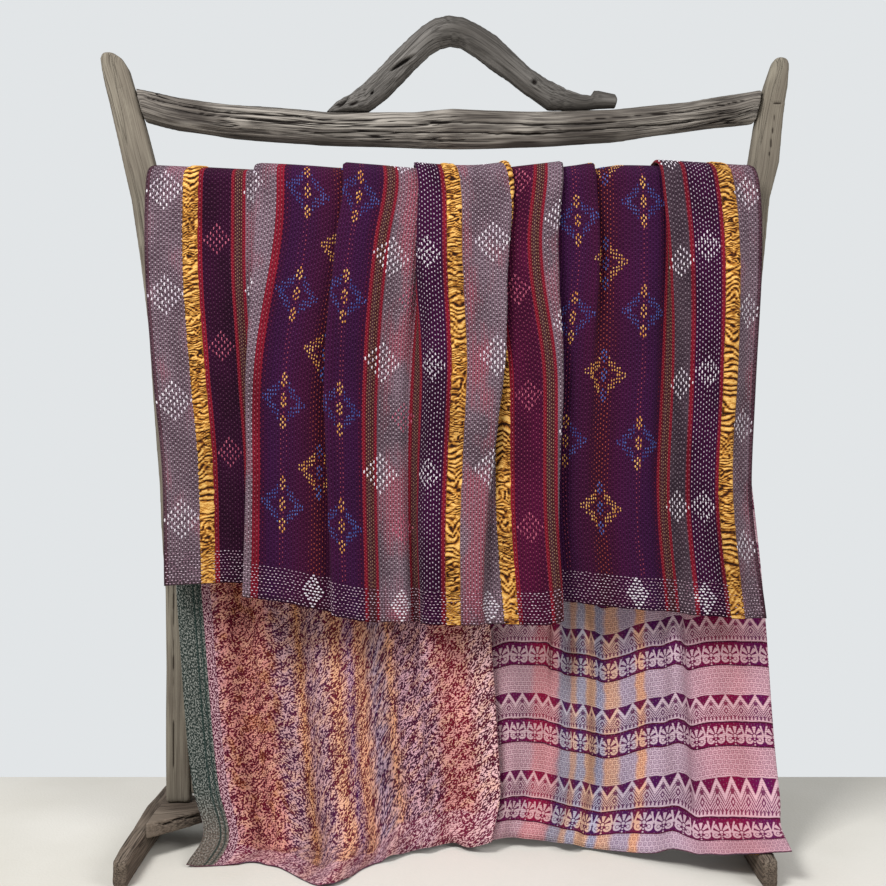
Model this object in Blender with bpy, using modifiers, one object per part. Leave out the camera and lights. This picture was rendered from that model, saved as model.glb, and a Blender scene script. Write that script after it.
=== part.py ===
"""Kantha quilt folded once over the rail of a driftwood quilt rack.

Metres, +Z up. The rack stands on the floor plane z = 0 and faces -Y. Its origin is on the
floor, under the middle of the rack. The quilt is one cloth: its long flap hangs from the back
of the rail and comes forward under the short front flap, in front of the posts.

The quilt is worked out as level sections. In each section the cloth keeps its flat width,
and every pleat is a turn of the section's direction that takes up a stated length of cloth.
"""

import math
from collections import namedtuple

import bmesh
import bpy
import numpy as np
from mathutils import Matrix, Vector

NAME = "kantha_quilt_rack"
JOINT_GAP = 0.0004

# Quilt, as cut and as hung
QUILT_WIDTH = 1.481
CLOTH = 0.003
RAIL_RADIUS = 0.022
RAIL_CLEARANCE = 0.0025
RAIL_Y = -0.042
RAIL_Z = 1.263
PLEAT_LIFT = 0.0095
WRAP_RADIUS = RAIL_RADIUS + RAIL_CLEARANCE + PLEAT_LIFT + CLOTH / 2
WRAP_BEHIND = math.radians(9)
ROWS_BACK = 12
ROWS_RAIL = 6
ROWS_FRONT = 9
SECTION_SAMPLES = 1482
WAVE_SAMPLES = 48
BISECTIONS = 24
COLUMN_GAP = 0.044

# Rack
POST_DEPTH = 0.030
STRETCHER_TOP = 0.068
DOUBLER_Z = (0.084, 0.75)
DOUBLER_WIDTH = 0.026
DOUBLER_DEPTH = 0.022
CLEAT_THICKNESS = 0.012
CLEAT_RADIUS = 0.019
CLEAT_BACK = 0.012
CLEAT_SHOULDER = 0.015
CLEAT_SIDES = 6
YOKE_GAP = 0.0012
HOUSING_GAP = 0.0025
HANDLE_SIDES = 12
YOKE_SIDES = 14
RAIL_SIDES = 20
SOFT_EDGE = 0.004
WORN_ANGLE = math.radians(50)
FOOT_INNER_X = 0.5530
FOOT_TOP_FALL = 0.002

# Levels at which the folds are stated, from the back hem over the rail to the front hem.
# z is the height and turn is the gap between the layers of a pleat.
Level = namedtuple("Level", "name side z turn")
LEVELS = (
    Level("back_hem", "back", 0.020, 0.013),
    Level("back_low", "back", 0.420, 0.012),
    Level("back_mid", "back", 0.850, 0.009),
    Level("rail_back", "back", 1.300, 0.0058),
    Level("rail_front", "front", 1.290, 0.0058),
    Level("shoulder", "front", 1.150, 0.009),
    Level("waist", "front", 0.890, 0.012),
    Level("front_hem", "front", 0.460, 0.014),
)

# Where the two side edges of the cloth hang, in the same order.
Edge = namedtuple("Edge", "side z left right")
EDGES = (
    Edge("back", 0.010, -0.470, 0.606),
    Edge("back", 0.080, -0.450, 0.614),
    Edge("back", 0.180, -0.478, 0.629),
    Edge("back", 0.420, -0.512, 0.616),
    Edge("back", 0.850, -0.530, 0.575),
    Edge("back", 1.300, -0.538, 0.567),
    Edge("front", 1.290, -0.562, 0.588),
    Edge("front", 1.150, -0.567, 0.598),
    Edge("front", 0.890, -0.552, 0.586),
    Edge("front", 0.700, -0.534, 0.577),
    Edge("front", 0.460, -0.529, 0.604),
)

# One row a pleat: where its middle lies in the flat cloth at the back hem, rail, waist and
# front hem, which side lies on top (1 right, -1 left), and the cloth that it takes up at each
# level, from the back hem to the front hem. Below zero, the other side lies on top.
Pleat = namedtuple("Pleat", "back rail waist hem over takes")
PLEATS = (
    Pleat(0.220, 0.215, 0.232, 0.224, 1, (0.000, 0.000, 0.010, 0.011, 0.011, 0.016, 0.068, 0.094)),
    Pleat(0.440, 0.425, 0.430, 0.440, 1, (0.002, 0.004, 0.040, 0.039, 0.039, 0.058, 0.035, 0.016)),
    Pleat(0.610, 0.633, 0.622, 0.640, 1, (0.000, 0.000, 0.046, 0.072, 0.072, 0.047, 0.010, 0.003)),
    Pleat(0.745, 0.850, 0.818, 0.780, -1, (-0.190, -0.150, 0.000, 0.010, 0.036, 0.062, 0.040, 0.010)),
    Pleat(0.990, 1.000, 0.990, 0.975, -1, (0.002, 0.014, 0.070, 0.076, 0.076, 0.057, 0.104, 0.110)),
    Pleat(1.130, 1.125, 1.130, 1.140, -1, (0.000, 0.000, 0.010, 0.012, 0.012, 0.020, 0.004, 0.002)),
    Pleat(1.280, 1.282, 1.278, 1.270, 1, (0.002, 0.004, 0.026, 0.031, 0.031, 0.022, 0.006, 0.004)),
)

# One row a soft fold: its middle and width in the flat cloth, which way it swells (1 towards
# the striped face), and the cloth that it takes up at each level, in the same order.
Wave = namedtuple("Wave", "at width out takes")
WAVES = (
    Wave(0.130, 0.090, 1, (0.016, 0.014, 0.004, 0.0, 0.0, 0.0, 0.0, 0.0)),
    Wave(0.330, 0.230, -1, (0.066, 0.034, 0.004, 0.0, 0.0, 0.0, 0.004, 0.008)),
    Wave(0.520, 0.120, 1, (0.026, 0.026, 0.010, 0.0, 0.0, 0.0, 0.004, 0.006)),
    Wave(0.630, 0.090, -1, (0.0, 0.0, 0.0, 0.0, 0.0, 0.004, 0.016, 0.020)),
    Wave(0.935, 0.090, 1, (0.018, 0.0, 0.0, 0.0, 0.0, 0.0, 0.0, 0.0)),
    Wave(1.070, 0.110, -1, (0.030, 0.034, 0.010, 0.0, 0.0, 0.0, 0.002, 0.006)),
    Wave(1.285, 0.090, -1, (0.004, 0.024, 0.006, 0.0, 0.0, 0.004, 0.018, 0.014)),
    Wave(1.415, 0.100, 1, (0.0, 0.0, 0.0, 0.0, 0.0, 0.006, 0.018, 0.008)),
)

# One row a panel between folds: its place in the flat cloth, how far it stands out from the
# plumb line of the rail at the shoulder, waist and hem, the height of the front hem, the depth
# of the back flap at knee height, and the depth and height of the back hem.
Panel = namedtuple("Panel", "at shoulder waist hem hem_z low_y back_y back_z")
PANELS = (
    Panel(0.000, 0.002, 0.004, 0.006, 0.500, -0.036, -0.165, 0.007),
    Panel(0.150, 0.002, 0.002, 0.004, 0.506, -0.036, -0.172, 0.007),
    Panel(0.200, 0.005, 0.008, 0.012, 0.494, -0.034, -0.184, 0.007),
    Panel(0.270, 0.010, 0.016, 0.022, 0.482, -0.032, -0.240, 0.007),
    Panel(0.330, 0.012, 0.022, 0.028, 0.473, -0.030, -0.254, 0.007),
    Panel(0.410, 0.011, 0.018, 0.025, 0.457, -0.028, -0.176, 0.007),
    Panel(0.540, 0.010, 0.012, 0.020, 0.434, -0.026, -0.092, 0.007),
    Panel(0.620, 0.011, 0.016, 0.023, 0.432, -0.028, -0.064, 0.010),
    Panel(0.700, 0.012, 0.020, 0.026, 0.430, -0.030, -0.080, 0.007),
    Panel(0.900, 0.014, 0.018, 0.024, 0.432, -0.026, -0.064, 0.020),
    Panel(1.060, 0.004, 0.000, 0.002, 0.470, -0.030, -0.090, 0.018),
    Panel(1.200, 0.010, 0.012, 0.016, 0.458, -0.026, -0.120, 0.012),
    Panel(1.345, 0.010, 0.014, 0.022, 0.448, -0.034, -0.205, 0.042),
    Panel(1.481, 0.002, 0.002, 0.012, 0.440, -0.036, -0.250, 0.062),
)

# The back flap leaves the rail and comes clear of the posts' front faces on its way down.
WRAP_END_Y = RAIL_Y + WRAP_RADIUS * math.cos(WRAP_BEHIND)
WRAP_END_Z = RAIL_Z - WRAP_RADIUS * math.sin(WRAP_BEHIND)
CLEAR_PART = 0.08
CLEAR_OF_POSTS_Y = -0.0245
CLEAR_OF_POSTS_Z = 1.175
KNEE_PART = 0.62

# Below knee height it sweeps forward to its hem. One row a share of its length: the share of
# the sweep done there, the height, how much lower it lies where the hem sweeps out most, and
# the share of the hem's own height that is added.
SweepRow = namedtuple("SweepRow", "part done z flared hem")
SWEEP = (
    SweepRow(0.80, 0.16, 0.24, 0.09, 0.0),
    SweepRow(0.92, 0.46, 0.11, 0.07, 0.5),
    SweepRow(1.00, 1.00, 0.00, 0.00, 1.0),
)
FLARE_FROM = 0.060
FLARE_FULL = 0.180
PATH_STEP = 0.01
FLOOR_CLEARANCE = 0.001

# Rack boards. Posts by height, yoke and stretcher across, feet front to back.
PostRow = namedtuple("PostRow", "z left right")
POST_LEFT = (
    PostRow(0.0684, -0.541, -0.495),
    PostRow(0.481, -0.543, -0.497),
    PostRow(0.720, -0.558, -0.508),
    PostRow(0.986, -0.576, -0.518),
    PostRow(1.122, -0.592, -0.531),
    PostRow(1.238, -0.609, -0.548),
    PostRow(1.304, -0.625, -0.563),
    PostRow(1.364, -0.638, -0.578),
    PostRow(1.424, -0.651, -0.594),
    PostRow(1.461, -0.660, -0.606),
    PostRow(1.492, -0.666, -0.615),
    PostRow(1.513, -0.669, -0.628),
    PostRow(1.526, -0.665, -0.646),
)
POST_RIGHT = (
    PostRow(0.0684, 0.495, 0.541),
    PostRow(0.481, 0.497, 0.545),
    PostRow(0.720, 0.520, 0.570),
    PostRow(0.986, 0.550, 0.604),
    PostRow(1.122, 0.566, 0.620),
    PostRow(1.242, 0.580, 0.632),
    PostRow(1.312, 0.591, 0.650),
    PostRow(1.389, 0.603, 0.657),
    PostRow(1.433, 0.613, 0.662),
    PostRow(1.461, 0.622, 0.667),
    PostRow(1.492, 0.633, 0.669),
    PostRow(1.506, 0.638, 0.669),
    PostRow(1.516, 0.645, 0.664),
)
YokeRow = namedtuple("YokeRow", "x top bottom depth")
YOKE = (
    YokeRow(-0.598, 1.458, 1.391, 0.052),
    YokeRow(-0.520, 1.440, 1.374, 0.056),
    YokeRow(-0.423, 1.427, 1.360, 0.058),
    YokeRow(-0.240, 1.412, 1.345, 0.060),
    YokeRow(-0.060, 1.410, 1.341, 0.062),
    YokeRow(0.015, 1.418, 1.339, 0.064),
    YokeRow(0.080, 1.415, 1.340, 0.063),
    YokeRow(0.184, 1.413, 1.344, 0.060),
    YokeRow(0.328, 1.417, 1.353, 0.058),
    YokeRow(0.473, 1.430, 1.372, 0.055),
    YokeRow(0.610, 1.456, 1.389, 0.050),
)
BranchRow = namedtuple("BranchRow", "x z radius")
BRANCH = (
    BranchRow(-0.205, 1.411, 0.014),
    BranchRow(-0.166, 1.430, 0.026),
    BranchRow(-0.114, 1.465, 0.029),
    BranchRow(-0.064, 1.509, 0.028),
    BranchRow(-0.028, 1.546, 0.029),
    BranchRow(0.004, 1.567, 0.031),
    BranchRow(0.036, 1.563, 0.030),
    BranchRow(0.068, 1.539, 0.029),
    BranchRow(0.112, 1.505, 0.028),
    BranchRow(0.158, 1.466, 0.027),
    BranchRow(0.200, 1.440, 0.022),
    BranchRow(0.245, 1.430, 0.015),
    BranchRow(0.285, 1.429, 0.013),
    BranchRow(0.300, 1.433, 0.016),
    BranchRow(0.333, 1.432, 0.015),
)
StretcherRow = namedtuple("StretcherRow", "x front back bottom")
STRETCHER = (
    StretcherRow(-0.5526, -0.132, 0.045, 0.040),
    StretcherRow(-0.512, -0.096, 0.040, 0.041),
    StretcherRow(-0.460, -0.050, 0.034, 0.042),
    StretcherRow(-0.380, -0.022, 0.032, 0.043),
    StretcherRow(0.000, 0.000, 0.034, 0.041),
    StretcherRow(0.400, -0.010, 0.034, 0.042),
    StretcherRow(0.5526, -0.040, 0.036, 0.042),
)
FootRow = namedtuple("FootRow", "y top thickness")
FOOT = (
    FootRow(-0.262, 0.049, 0.026),
    FootRow(-0.200, 0.053, 0.028),
    FootRow(-0.110, 0.054, 0.028),
    FootRow(0.000, 0.061, 0.029),
    FootRow(0.120, 0.056, 0.028),
    FootRow(0.262, 0.046, 0.026),
)

Finish = namedtuple("Finish", "colour roughness metallic")
DRIFTWOOD = Finish((0.165, 0.145, 0.120), 0.90, 0.0)
OLD_BOARD = Finish((0.130, 0.115, 0.098), 0.92, 0.0)
QUILT_CLOTH = Finish((0.070, 0.016, 0.080), 0.95, 0.0)


def smooth_curve(knots, values):
    """Monotone cubic through the knots, so that a level never overshoots its neighbours."""
    knots = np.asarray(knots, float)
    values = np.asarray(values, float)
    run = np.diff(knots)
    slope = np.diff(values) / run
    tangent = np.concatenate(([slope[0]], (slope[:-1] + slope[1:]) / 2, [slope[-1]]))
    for i in range(1, len(slope)):
        if slope[i - 1] * slope[i] <= 0:
            tangent[i] = 0.0
        else:
            limit = 3 * min(abs(slope[i - 1]), abs(slope[i]))
            tangent[i] = math.copysign(min(abs(tangent[i]), limit), slope[i])

    def curve(where):
        where = np.clip(where, knots[0], knots[-1])
        i = np.clip(np.searchsorted(knots, where) - 1, 0, len(run) - 1)
        t = (where - knots[i]) / run[i]
        rise = values[i] * (1 + 2 * t) * (1 - t) ** 2 + values[i + 1] * t * t * (3 - 2 * t)
        lean = tangent[i] * t * (1 - t) ** 2 - tangent[i + 1] * t * t * (1 - t)
        return rise + lean * run[i]

    return curve


def level_curve(values):
    """A value stated at every level, as a curve along the cloth."""
    return smooth_curve(STATIONS, values)


# ---------------------------------------------------------------- quilt


def station(side, z):
    """Distance along the cloth from the top of the rail to height z, back flap negative."""
    drop = WRAP_RADIUS * math.pi / 2 + RAIL_Z - z
    return -drop if side == "back" else drop


KNEE_Z = LEVELS[1].z
STATIONS = [station(level.side, level.z) for level in LEVELS]
EDGE_STATIONS = [station(edge.side, edge.z) for edge in EDGES]


PleatSpan = namedtuple("PleatSpan", "place take ramp flat reach over")


def steepness(take, length, used):
    """The largest direction, up to a half turn, whose fold of this length takes up the cloth."""
    low, high = 0.0, math.pi
    for _ in range(BISECTIONS):
        middle = (low + high) / 2
        if used(middle) * length < take:
            low = middle
        else:
            high = middle
    return low


def pleat_heading(along, span):
    """Direction of the section across a pleat: it turns back, lies flat and turns again."""
    most = math.pi
    if span.flat == 0.0:
        most = steepness(span.take, 2 * span.ramp, lambda a: 1 - math.sin(a) / a)
    rise = np.clip((along + span.reach) / span.ramp, 0, 1)
    fall = np.clip((span.reach - along) / span.ramp, 0, 1)
    return span.over * most * np.minimum(rise, fall)


def wave_heading(along, take, width):
    """Direction of the section across a soft fold, which swells out and comes back."""
    turn = np.linspace(0, 2 * math.pi, WAVE_SAMPLES, endpoint=False)
    most = steepness(take, width, lambda a: 1 - np.cos(a * np.sin(turn)).mean())
    inside = np.abs(along) < width / 2
    return np.where(inside, -most * np.sin(2 * math.pi * along / width), 0.0)


def pleat_spans(where):
    """Each pleat at this station: length of one turn, of its flat layer and of half the pleat."""
    knots = [STATIONS[i] for i in (0, 1, 3, 4, 6, 7)]
    ramp = float(level_curve([level.turn for level in LEVELS])(where)) * math.pi / 2
    spans = []
    for p in PLEATS:
        place = float(smooth_curve(knots, (p.back, p.back, p.rail, p.rail, p.waist, p.hem))(where))
        signed = float(level_curve(p.takes)(where))
        take, over = abs(signed), math.copysign(1, signed) * p.over
        flat = max(0.0, take / 2 - ramp)
        spans.append(PleatSpan(place, take, ramp, flat, ramp + flat / 2, over))
    return spans


def pleat_stops(span):
    """Flat places of the columns in a pleat: three in each turn and one between them."""
    inner = max(span.reach - span.ramp, span.reach / 3)
    half = (span.reach, (span.reach + inner) / 2, inner)
    return [span.place - h for h in half] + [span.place] + [span.place + h for h in half[::-1]]


def section(where):
    """X, outward depth, flat place and hung place of the columns in one level section.

    The hung place is the place on the panel that lies at the same X, so it is the same for
    all layers of a pleat.
    """
    along = np.linspace(0.0, QUILT_WIDTH, SECTION_SAMPLES)
    spans = pleat_spans(where)
    heading = np.zeros_like(along)
    for span in spans:
        heading += pleat_heading(along - span.place, span)
    for wave in WAVES:
        take = float(level_curve(wave.takes)(where))
        heading += wave.out * wave_heading(along - wave.at, take, wave.width)
    step = along[1] - along[0]
    across = np.concatenate(([0.0], np.cumsum(np.cos(heading[:-1]) * step)))
    depth = np.concatenate(([0.0], np.cumsum(np.sin(heading[:-1]) * step)))
    left = float(smooth_curve(EDGE_STATIONS, [edge.left for edge in EDGES])(where))
    right = float(smooth_curve(EDGE_STATIONS, [edge.right for edge in EDGES])(where))
    xs = left + across * (right - left) / across[-1]
    ends = [span.reach + span.flat for span in spans]
    starts = [span.place - end for span, end in zip(spans, ends)]
    stops = [span.place + end for span, end in zip(spans, ends)]
    rests = [0.0] + [(a + b) / 2 for a, b in zip(stops, starts[1:])] + [QUILT_WIDTH]
    rest_x = np.interp(rests, along, xs)
    depth -= smooth_curve(rest_x, np.interp(rests, along, depth))(xs)
    columns = column_places(spans)
    column_x = np.interp(columns, along, xs)
    column_depth = np.interp(columns, along, depth)
    return column_x, column_depth, columns, np.interp(column_x, rest_x, rests)


def column_places(spans):
    """Flat places of the mesh columns, close together in the pleats."""
    stops = [pleat_stops(span) for span in spans]
    edges = [0.0] + [place for turn in stops for place in (turn[0], turn[-1])] + [QUILT_WIDTH]
    columns = [0.0]
    for i, count in enumerate(COLUMNS_BETWEEN):
        columns += list(np.linspace(edges[2 * i], edges[2 * i + 1], count + 1)[1:])
        if i < len(stops):
            columns += stops[i][1:]
    return np.array(columns)


def count_columns_between():
    """Number of steps between pleats, the same at every level."""
    places = [0.0] + [p.rail for p in PLEATS] + [QUILT_WIDTH]
    return [max(2, round((b - a) / COLUMN_GAP)) for a, b in zip(places, places[1:])]


COLUMNS_BETWEEN = count_columns_between()


def panel_curve(name):
    """One column of the panel table, as a curve across the flat cloth."""
    return smooth_curve([p.at for p in PANELS], [getattr(p, name) for p in PANELS])


def front_row(part):
    """Vertices of the row at this part of the way from the rail to the front hem."""
    hem_z = panel_curve("hem_z")
    where = station("front", RAIL_Z + part * (LEVELS[-1].z - RAIL_Z))
    drops = [(RAIL_Z - level.z) / (RAIL_Z - LEVELS[-1].z) for level in LEVELS[5:]]
    row = []
    for x, depth, place, hung in zip(*section(where)):
        outs = [float(panel_curve(name)(hung)) for name in ("shoulder", "waist", "hem")]
        out = WRAP_RADIUS + depth + float(smooth_curve([0.0] + drops, [0.0] + outs)(part))
        row.append(Vector((x, RAIL_Y - out, RAIL_Z + part * (float(hem_z(place)) - RAIL_Z))))
    return row


def rail_row(angle):
    """Vertices of the row over the rail at this angle, 0 at the front and a half turn behind."""
    row = []
    for x, depth, _, _ in zip(*section(WRAP_RADIUS * (math.pi / 2 - angle))):
        out = WRAP_RADIUS + depth
        row.append(Vector((x, RAIL_Y - out * math.cos(angle), RAIL_Z + out * math.sin(angle))))
    return row


def back_path(place):
    """Depth and height of the back flap from the rail to its hem, at one place across."""
    low_y, hem_y, hem_z = (float(panel_curve(n)(place)) for n in ("low_y", "back_y", "back_z"))
    flare = min(1.0, max(0.0, (-hem_y - FLARE_FROM) / (FLARE_FULL - FLARE_FROM)))
    parts = [0.0, CLEAR_PART, KNEE_PART] + [row.part for row in SWEEP]
    ys = [WRAP_END_Y, CLEAR_OF_POSTS_Y, low_y]
    ys += [low_y + row.done * (hem_y - low_y) for row in SWEEP]
    zs = [WRAP_END_Z, CLEAR_OF_POSTS_Z, KNEE_Z]
    zs += [row.z - row.flared * flare + row.hem * hem_z for row in SWEEP]
    return smooth_curve(parts, ys), smooth_curve(parts, zs)


def back_row(part):
    """Vertices of the row at this part of the way from the rail to the back hem."""
    where = station("back", float(back_path(QUILT_WIDTH / 2)[1](part)))
    row = []
    for x, depth, _, hung in zip(*section(where)):
        path_y, path_z = back_path(hung)
        y, z = float(path_y(part)), float(path_z(part))
        ahead_y = float(path_y(part + PATH_STEP)) - float(path_y(part - PATH_STEP))
        ahead_z = float(path_z(part + PATH_STEP)) - float(path_z(part - PATH_STEP))
        run = math.hypot(ahead_y, ahead_z)
        lowest = FLOOR_CLEARANCE + CLOTH / 2
        row.append(Vector((x, y - depth * ahead_z / run, max(lowest, z + depth * ahead_y / run))))
    return row


def quilt_rows():
    """Rows of vertices from the back hem, over the rail, to the front hem."""
    rows = [back_row(part) for part in np.linspace(1.0, 0.0, ROWS_BACK + 1)[:-1]]
    over = np.linspace(math.pi + WRAP_BEHIND, 0.0, ROWS_RAIL + 1)
    rows += [rail_row(angle) for angle in over[:-1]]
    rows += [front_row(part) for part in np.linspace(0.0, 1.0, ROWS_FRONT + 1)]
    return rows


def build_quilt(collection, finish):
    """The quilt: one open sheet through the rows, thickened to both sides."""
    mesh = bmesh.new()
    rows = [[mesh.verts.new(point) for point in row] for row in quilt_rows()]
    for below, above in zip(rows, rows[1:]):
        for i in range(len(below) - 1):
            mesh.faces.new((below[i], above[i], above[i + 1], below[i + 1]))
    quilt = add_object("quilt", mesh, collection, finish)
    solidify = quilt.modifiers.new("cloth", "SOLIDIFY")
    solidify.thickness = CLOTH
    solidify.offset = 0.0
    return quilt


# ---------------------------------------------------------------- rack


def add_object(name, mesh, collection, finish):
    """Turn a bmesh into a named object with its own material."""
    data = bpy.data.meshes.new(name)
    mesh.to_mesh(data)
    mesh.free()
    item = bpy.data.objects.new(name, data)
    collection.objects.link(item)
    item.data.materials.append(make_material(name, finish))
    return item


def make_material(name, finish):
    """A plain Principled material."""
    material = bpy.data.materials.new(name)
    material.use_nodes = True
    shader = material.node_tree.nodes["Principled BSDF"]
    shader.inputs["Base Color"].default_value = (*finish.colour, 1.0)
    shader.inputs["Roughness"].default_value = finish.roughness
    shader.inputs["Metallic"].default_value = finish.metallic
    return material


def loft(name, rings, collection, finish):
    """A closed body through rings of equal length, capped at both ends."""
    mesh = bmesh.new()
    loops = [[mesh.verts.new(point) for point in ring] for ring in rings]
    count = len(rings[0])
    for near, far in zip(loops, loops[1:]):
        for i in range(count):
            j = (i + 1) % count
            mesh.faces.new((near[i], near[j], far[j], far[i]))
    mesh.faces.new(loops[0][::-1])
    mesh.faces.new(loops[-1])
    bmesh.ops.recalc_face_normals(mesh, faces=mesh.faces)
    return add_object(name, mesh, collection, finish)


def soften(item):
    """Worn edges on a board."""
    bevel = item.modifiers.new("worn_edges", "BEVEL")
    bevel.width = SOFT_EDGE
    bevel.segments = 1
    bevel.limit_method = "ANGLE"
    bevel.angle_limit = WORN_ANGLE
    return item


def edge_at(rows, z, side):
    """X of a post's edge at height z."""
    heights = [row.z for row in rows]
    return float(np.interp(z, heights, [getattr(row, side) for row in rows]))


def build_post(name, rows, collection, finish):
    """A curved plank through its sections."""
    half = POST_DEPTH / 2
    rings = [
        [
            Vector((row.left, -half, row.z)),
            Vector((row.right, -half, row.z)),
            Vector((row.right, half, row.z)),
            Vector((row.left, half, row.z)),
        ]
        for row in rows
    ]
    return soften(loft(name, rings, collection, finish))


def build_yoke(collection, finish):
    """The sagging timber, oval in section, with ends cut to the slope of the posts."""
    rings = []
    for n, row in enumerate(YOKE):
        middle, tall = (row.top + row.bottom) / 2, (row.top - row.bottom) / 2
        ring = []
        for k in range(YOKE_SIDES):
            turn = 2 * math.pi * k / YOKE_SIDES
            y, z = row.depth / 2 * math.cos(turn), middle + tall * math.sin(turn)
            x = row.x
            if n == 0:
                x = edge_at(POST_LEFT, z, "right") + HOUSING_GAP
            if n == len(YOKE) - 1:
                x = edge_at(POST_RIGHT, z, "left") - HOUSING_GAP
            ring.append(Vector((x, y, z)))
        rings.append(ring)
    return loft("yoke", rings, collection, finish)


def yoke_top(x):
    """Height of the yoke's upper line at x."""
    return float(np.interp(x, [row.x for row in YOKE], [row.top for row in YOKE]))


def build_branch(collection, finish):
    """The bent branch, round in section, cut flat where it sits on the yoke."""
    centres = [Vector((row.x, 0.0, row.z)) for row in BRANCH]
    rings = []
    for n, row in enumerate(BRANCH):
        ahead = centres[min(n + 1, len(centres) - 1)] - centres[max(n - 1, 0)]
        across = Vector((-ahead.z, 0.0, ahead.x)).normalized()
        ring = []
        for k in range(HANDLE_SIDES):
            turn = 2 * math.pi * k / HANDLE_SIDES
            side = Vector((0.0, row.radius * math.cos(turn), 0.0))
            point = centres[n] + side + across * row.radius * math.sin(turn)
            point.z = max(point.z, yoke_top(point.x) + YOKE_GAP)
            ring.append(point)
        rings.append(ring)
    return loft("handle_branch", rings, collection, finish)


def build_rail(collection, finish):
    """The round bar between the cleats."""
    left = edge_at(POST_LEFT, RAIL_Z, "right") + 2 * JOINT_GAP + CLEAT_THICKNESS
    right = edge_at(POST_RIGHT, RAIL_Z, "left") - 2 * JOINT_GAP - CLEAT_THICKNESS
    mesh = bmesh.new()
    bmesh.ops.create_cone(
        mesh,
        cap_ends=True,
        segments=RAIL_SIDES,
        radius1=RAIL_RADIUS,
        radius2=RAIL_RADIUS,
        depth=right - left,
    )
    bmesh.ops.rotate(mesh, verts=mesh.verts, matrix=Matrix.Rotation(math.pi / 2, 3, "Y"))
    bmesh.ops.translate(mesh, verts=mesh.verts, vec=((left + right) / 2, RAIL_Y, RAIL_Z))
    return add_object("rail", mesh, collection, finish)


def build_cleat(name, rows, side, collection, finish):
    """A block on the inner face of a post, with a round nose that carries the rail."""
    sign = 1 if side == "right" else -1
    outline = [(CLEAT_BACK, CLEAT_SHOULDER)]
    for k in range(CLEAT_SIDES + 1):
        turn = math.pi / 2 + math.pi * k / CLEAT_SIDES
        outline.append((RAIL_Y + CLEAT_RADIUS * math.cos(turn), CLEAT_RADIUS * math.sin(turn)))
    outline.append((CLEAT_BACK, -CLEAT_SHOULDER))
    rings = []
    for step in (0.0, CLEAT_THICKNESS):
        ring = []
        for y, up in outline:
            z = RAIL_Z + up
            inner = edge_at(rows, RAIL_Z, side) if step else edge_at(rows, z, side)
            ring.append(Vector((inner + sign * (JOINT_GAP + step), y, z)))
        rings.append(ring)
    return loft(name, rings, collection, finish)


def build_stretcher(collection, finish):
    """The low board between the feet, wide at its left end."""
    rings = [
        [
            Vector((row.x, row.front, row.bottom)),
            Vector((row.x, row.back, row.bottom)),
            Vector((row.x, row.back, STRETCHER_TOP)),
            Vector((row.x, row.front, STRETCHER_TOP)),
        ]
        for row in STRETCHER
    ]
    return loft("stretcher", rings, collection, finish)


def build_foot(name, sign, collection, finish):
    """A board on edge with a worn, uneven top."""
    rings = []
    for row in FOOT:
        inner, outer = FOOT_INNER_X, FOOT_INNER_X + row.thickness
        ring = [(inner, 0.0), (outer, 0.0), (outer, row.top), (inner, row.top - FOOT_TOP_FALL)]
        rings.append([Vector((sign * x, row.y, z)) for x, z in ring])
    return soften(loft(name, rings, collection, finish))


def build_doubler(name, sign, collection, finish):
    """The short plank beside the lower end of a post."""
    half = DOUBLER_DEPTH / 2
    inner_face = POST_RIGHT if sign > 0 else POST_LEFT
    edge = "left" if sign > 0 else "right"
    rings = []
    for z in (DOUBLER_Z[0], POST_LEFT[1].z, POST_LEFT[2].z, DOUBLER_Z[1]):
        outer = edge_at(inner_face, z, edge) - sign * JOINT_GAP
        inner = outer - sign * DOUBLER_WIDTH
        corners = ((outer, -half), (inner, -half), (inner, half), (outer, half))
        rings.append([Vector((x, y, z)) for x, y in corners])
    return loft(name, rings, collection, finish)


def main():
    """Clear the scene and build every piece into one collection."""
    for item in list(bpy.data.objects):
        bpy.data.objects.remove(item, do_unlink=True)
    pieces = bpy.data.collections.new(NAME)
    bpy.context.scene.collection.children.link(pieces)
    build_post("post_left", POST_LEFT, pieces, DRIFTWOOD)
    build_post("post_right", POST_RIGHT, pieces, DRIFTWOOD)
    build_yoke(pieces, DRIFTWOOD)
    build_branch(pieces, DRIFTWOOD)
    build_rail(pieces, DRIFTWOOD)
    build_cleat("cleat_left", POST_LEFT, "right", pieces, OLD_BOARD)
    build_cleat("cleat_right", POST_RIGHT, "left", pieces, OLD_BOARD)
    build_stretcher(pieces, OLD_BOARD)
    build_foot("foot_left", -1, pieces, OLD_BOARD)
    build_foot("foot_right", 1, pieces, OLD_BOARD)
    build_doubler("doubler_left", -1, pieces, OLD_BOARD)
    build_doubler("doubler_right", 1, pieces, OLD_BOARD)
    build_quilt(pieces, QUILT_CLOTH)


main()
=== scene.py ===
"""Looks of a double-sided kantha quilt folded over the rail of a driftwood quilt rack.

The quilt is one thin sheet that lies on the folds of its solid. Its outer face is a striped
sari cotton with gold ribbons, stitched all over by hand; its inner face joins a speckled weave
and a bordered print. The rack is grey driftwood.
"""

import logging
import math
from dataclasses import dataclass, field
from enum import Enum
from typing import Callable, NamedTuple, Sequence

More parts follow.
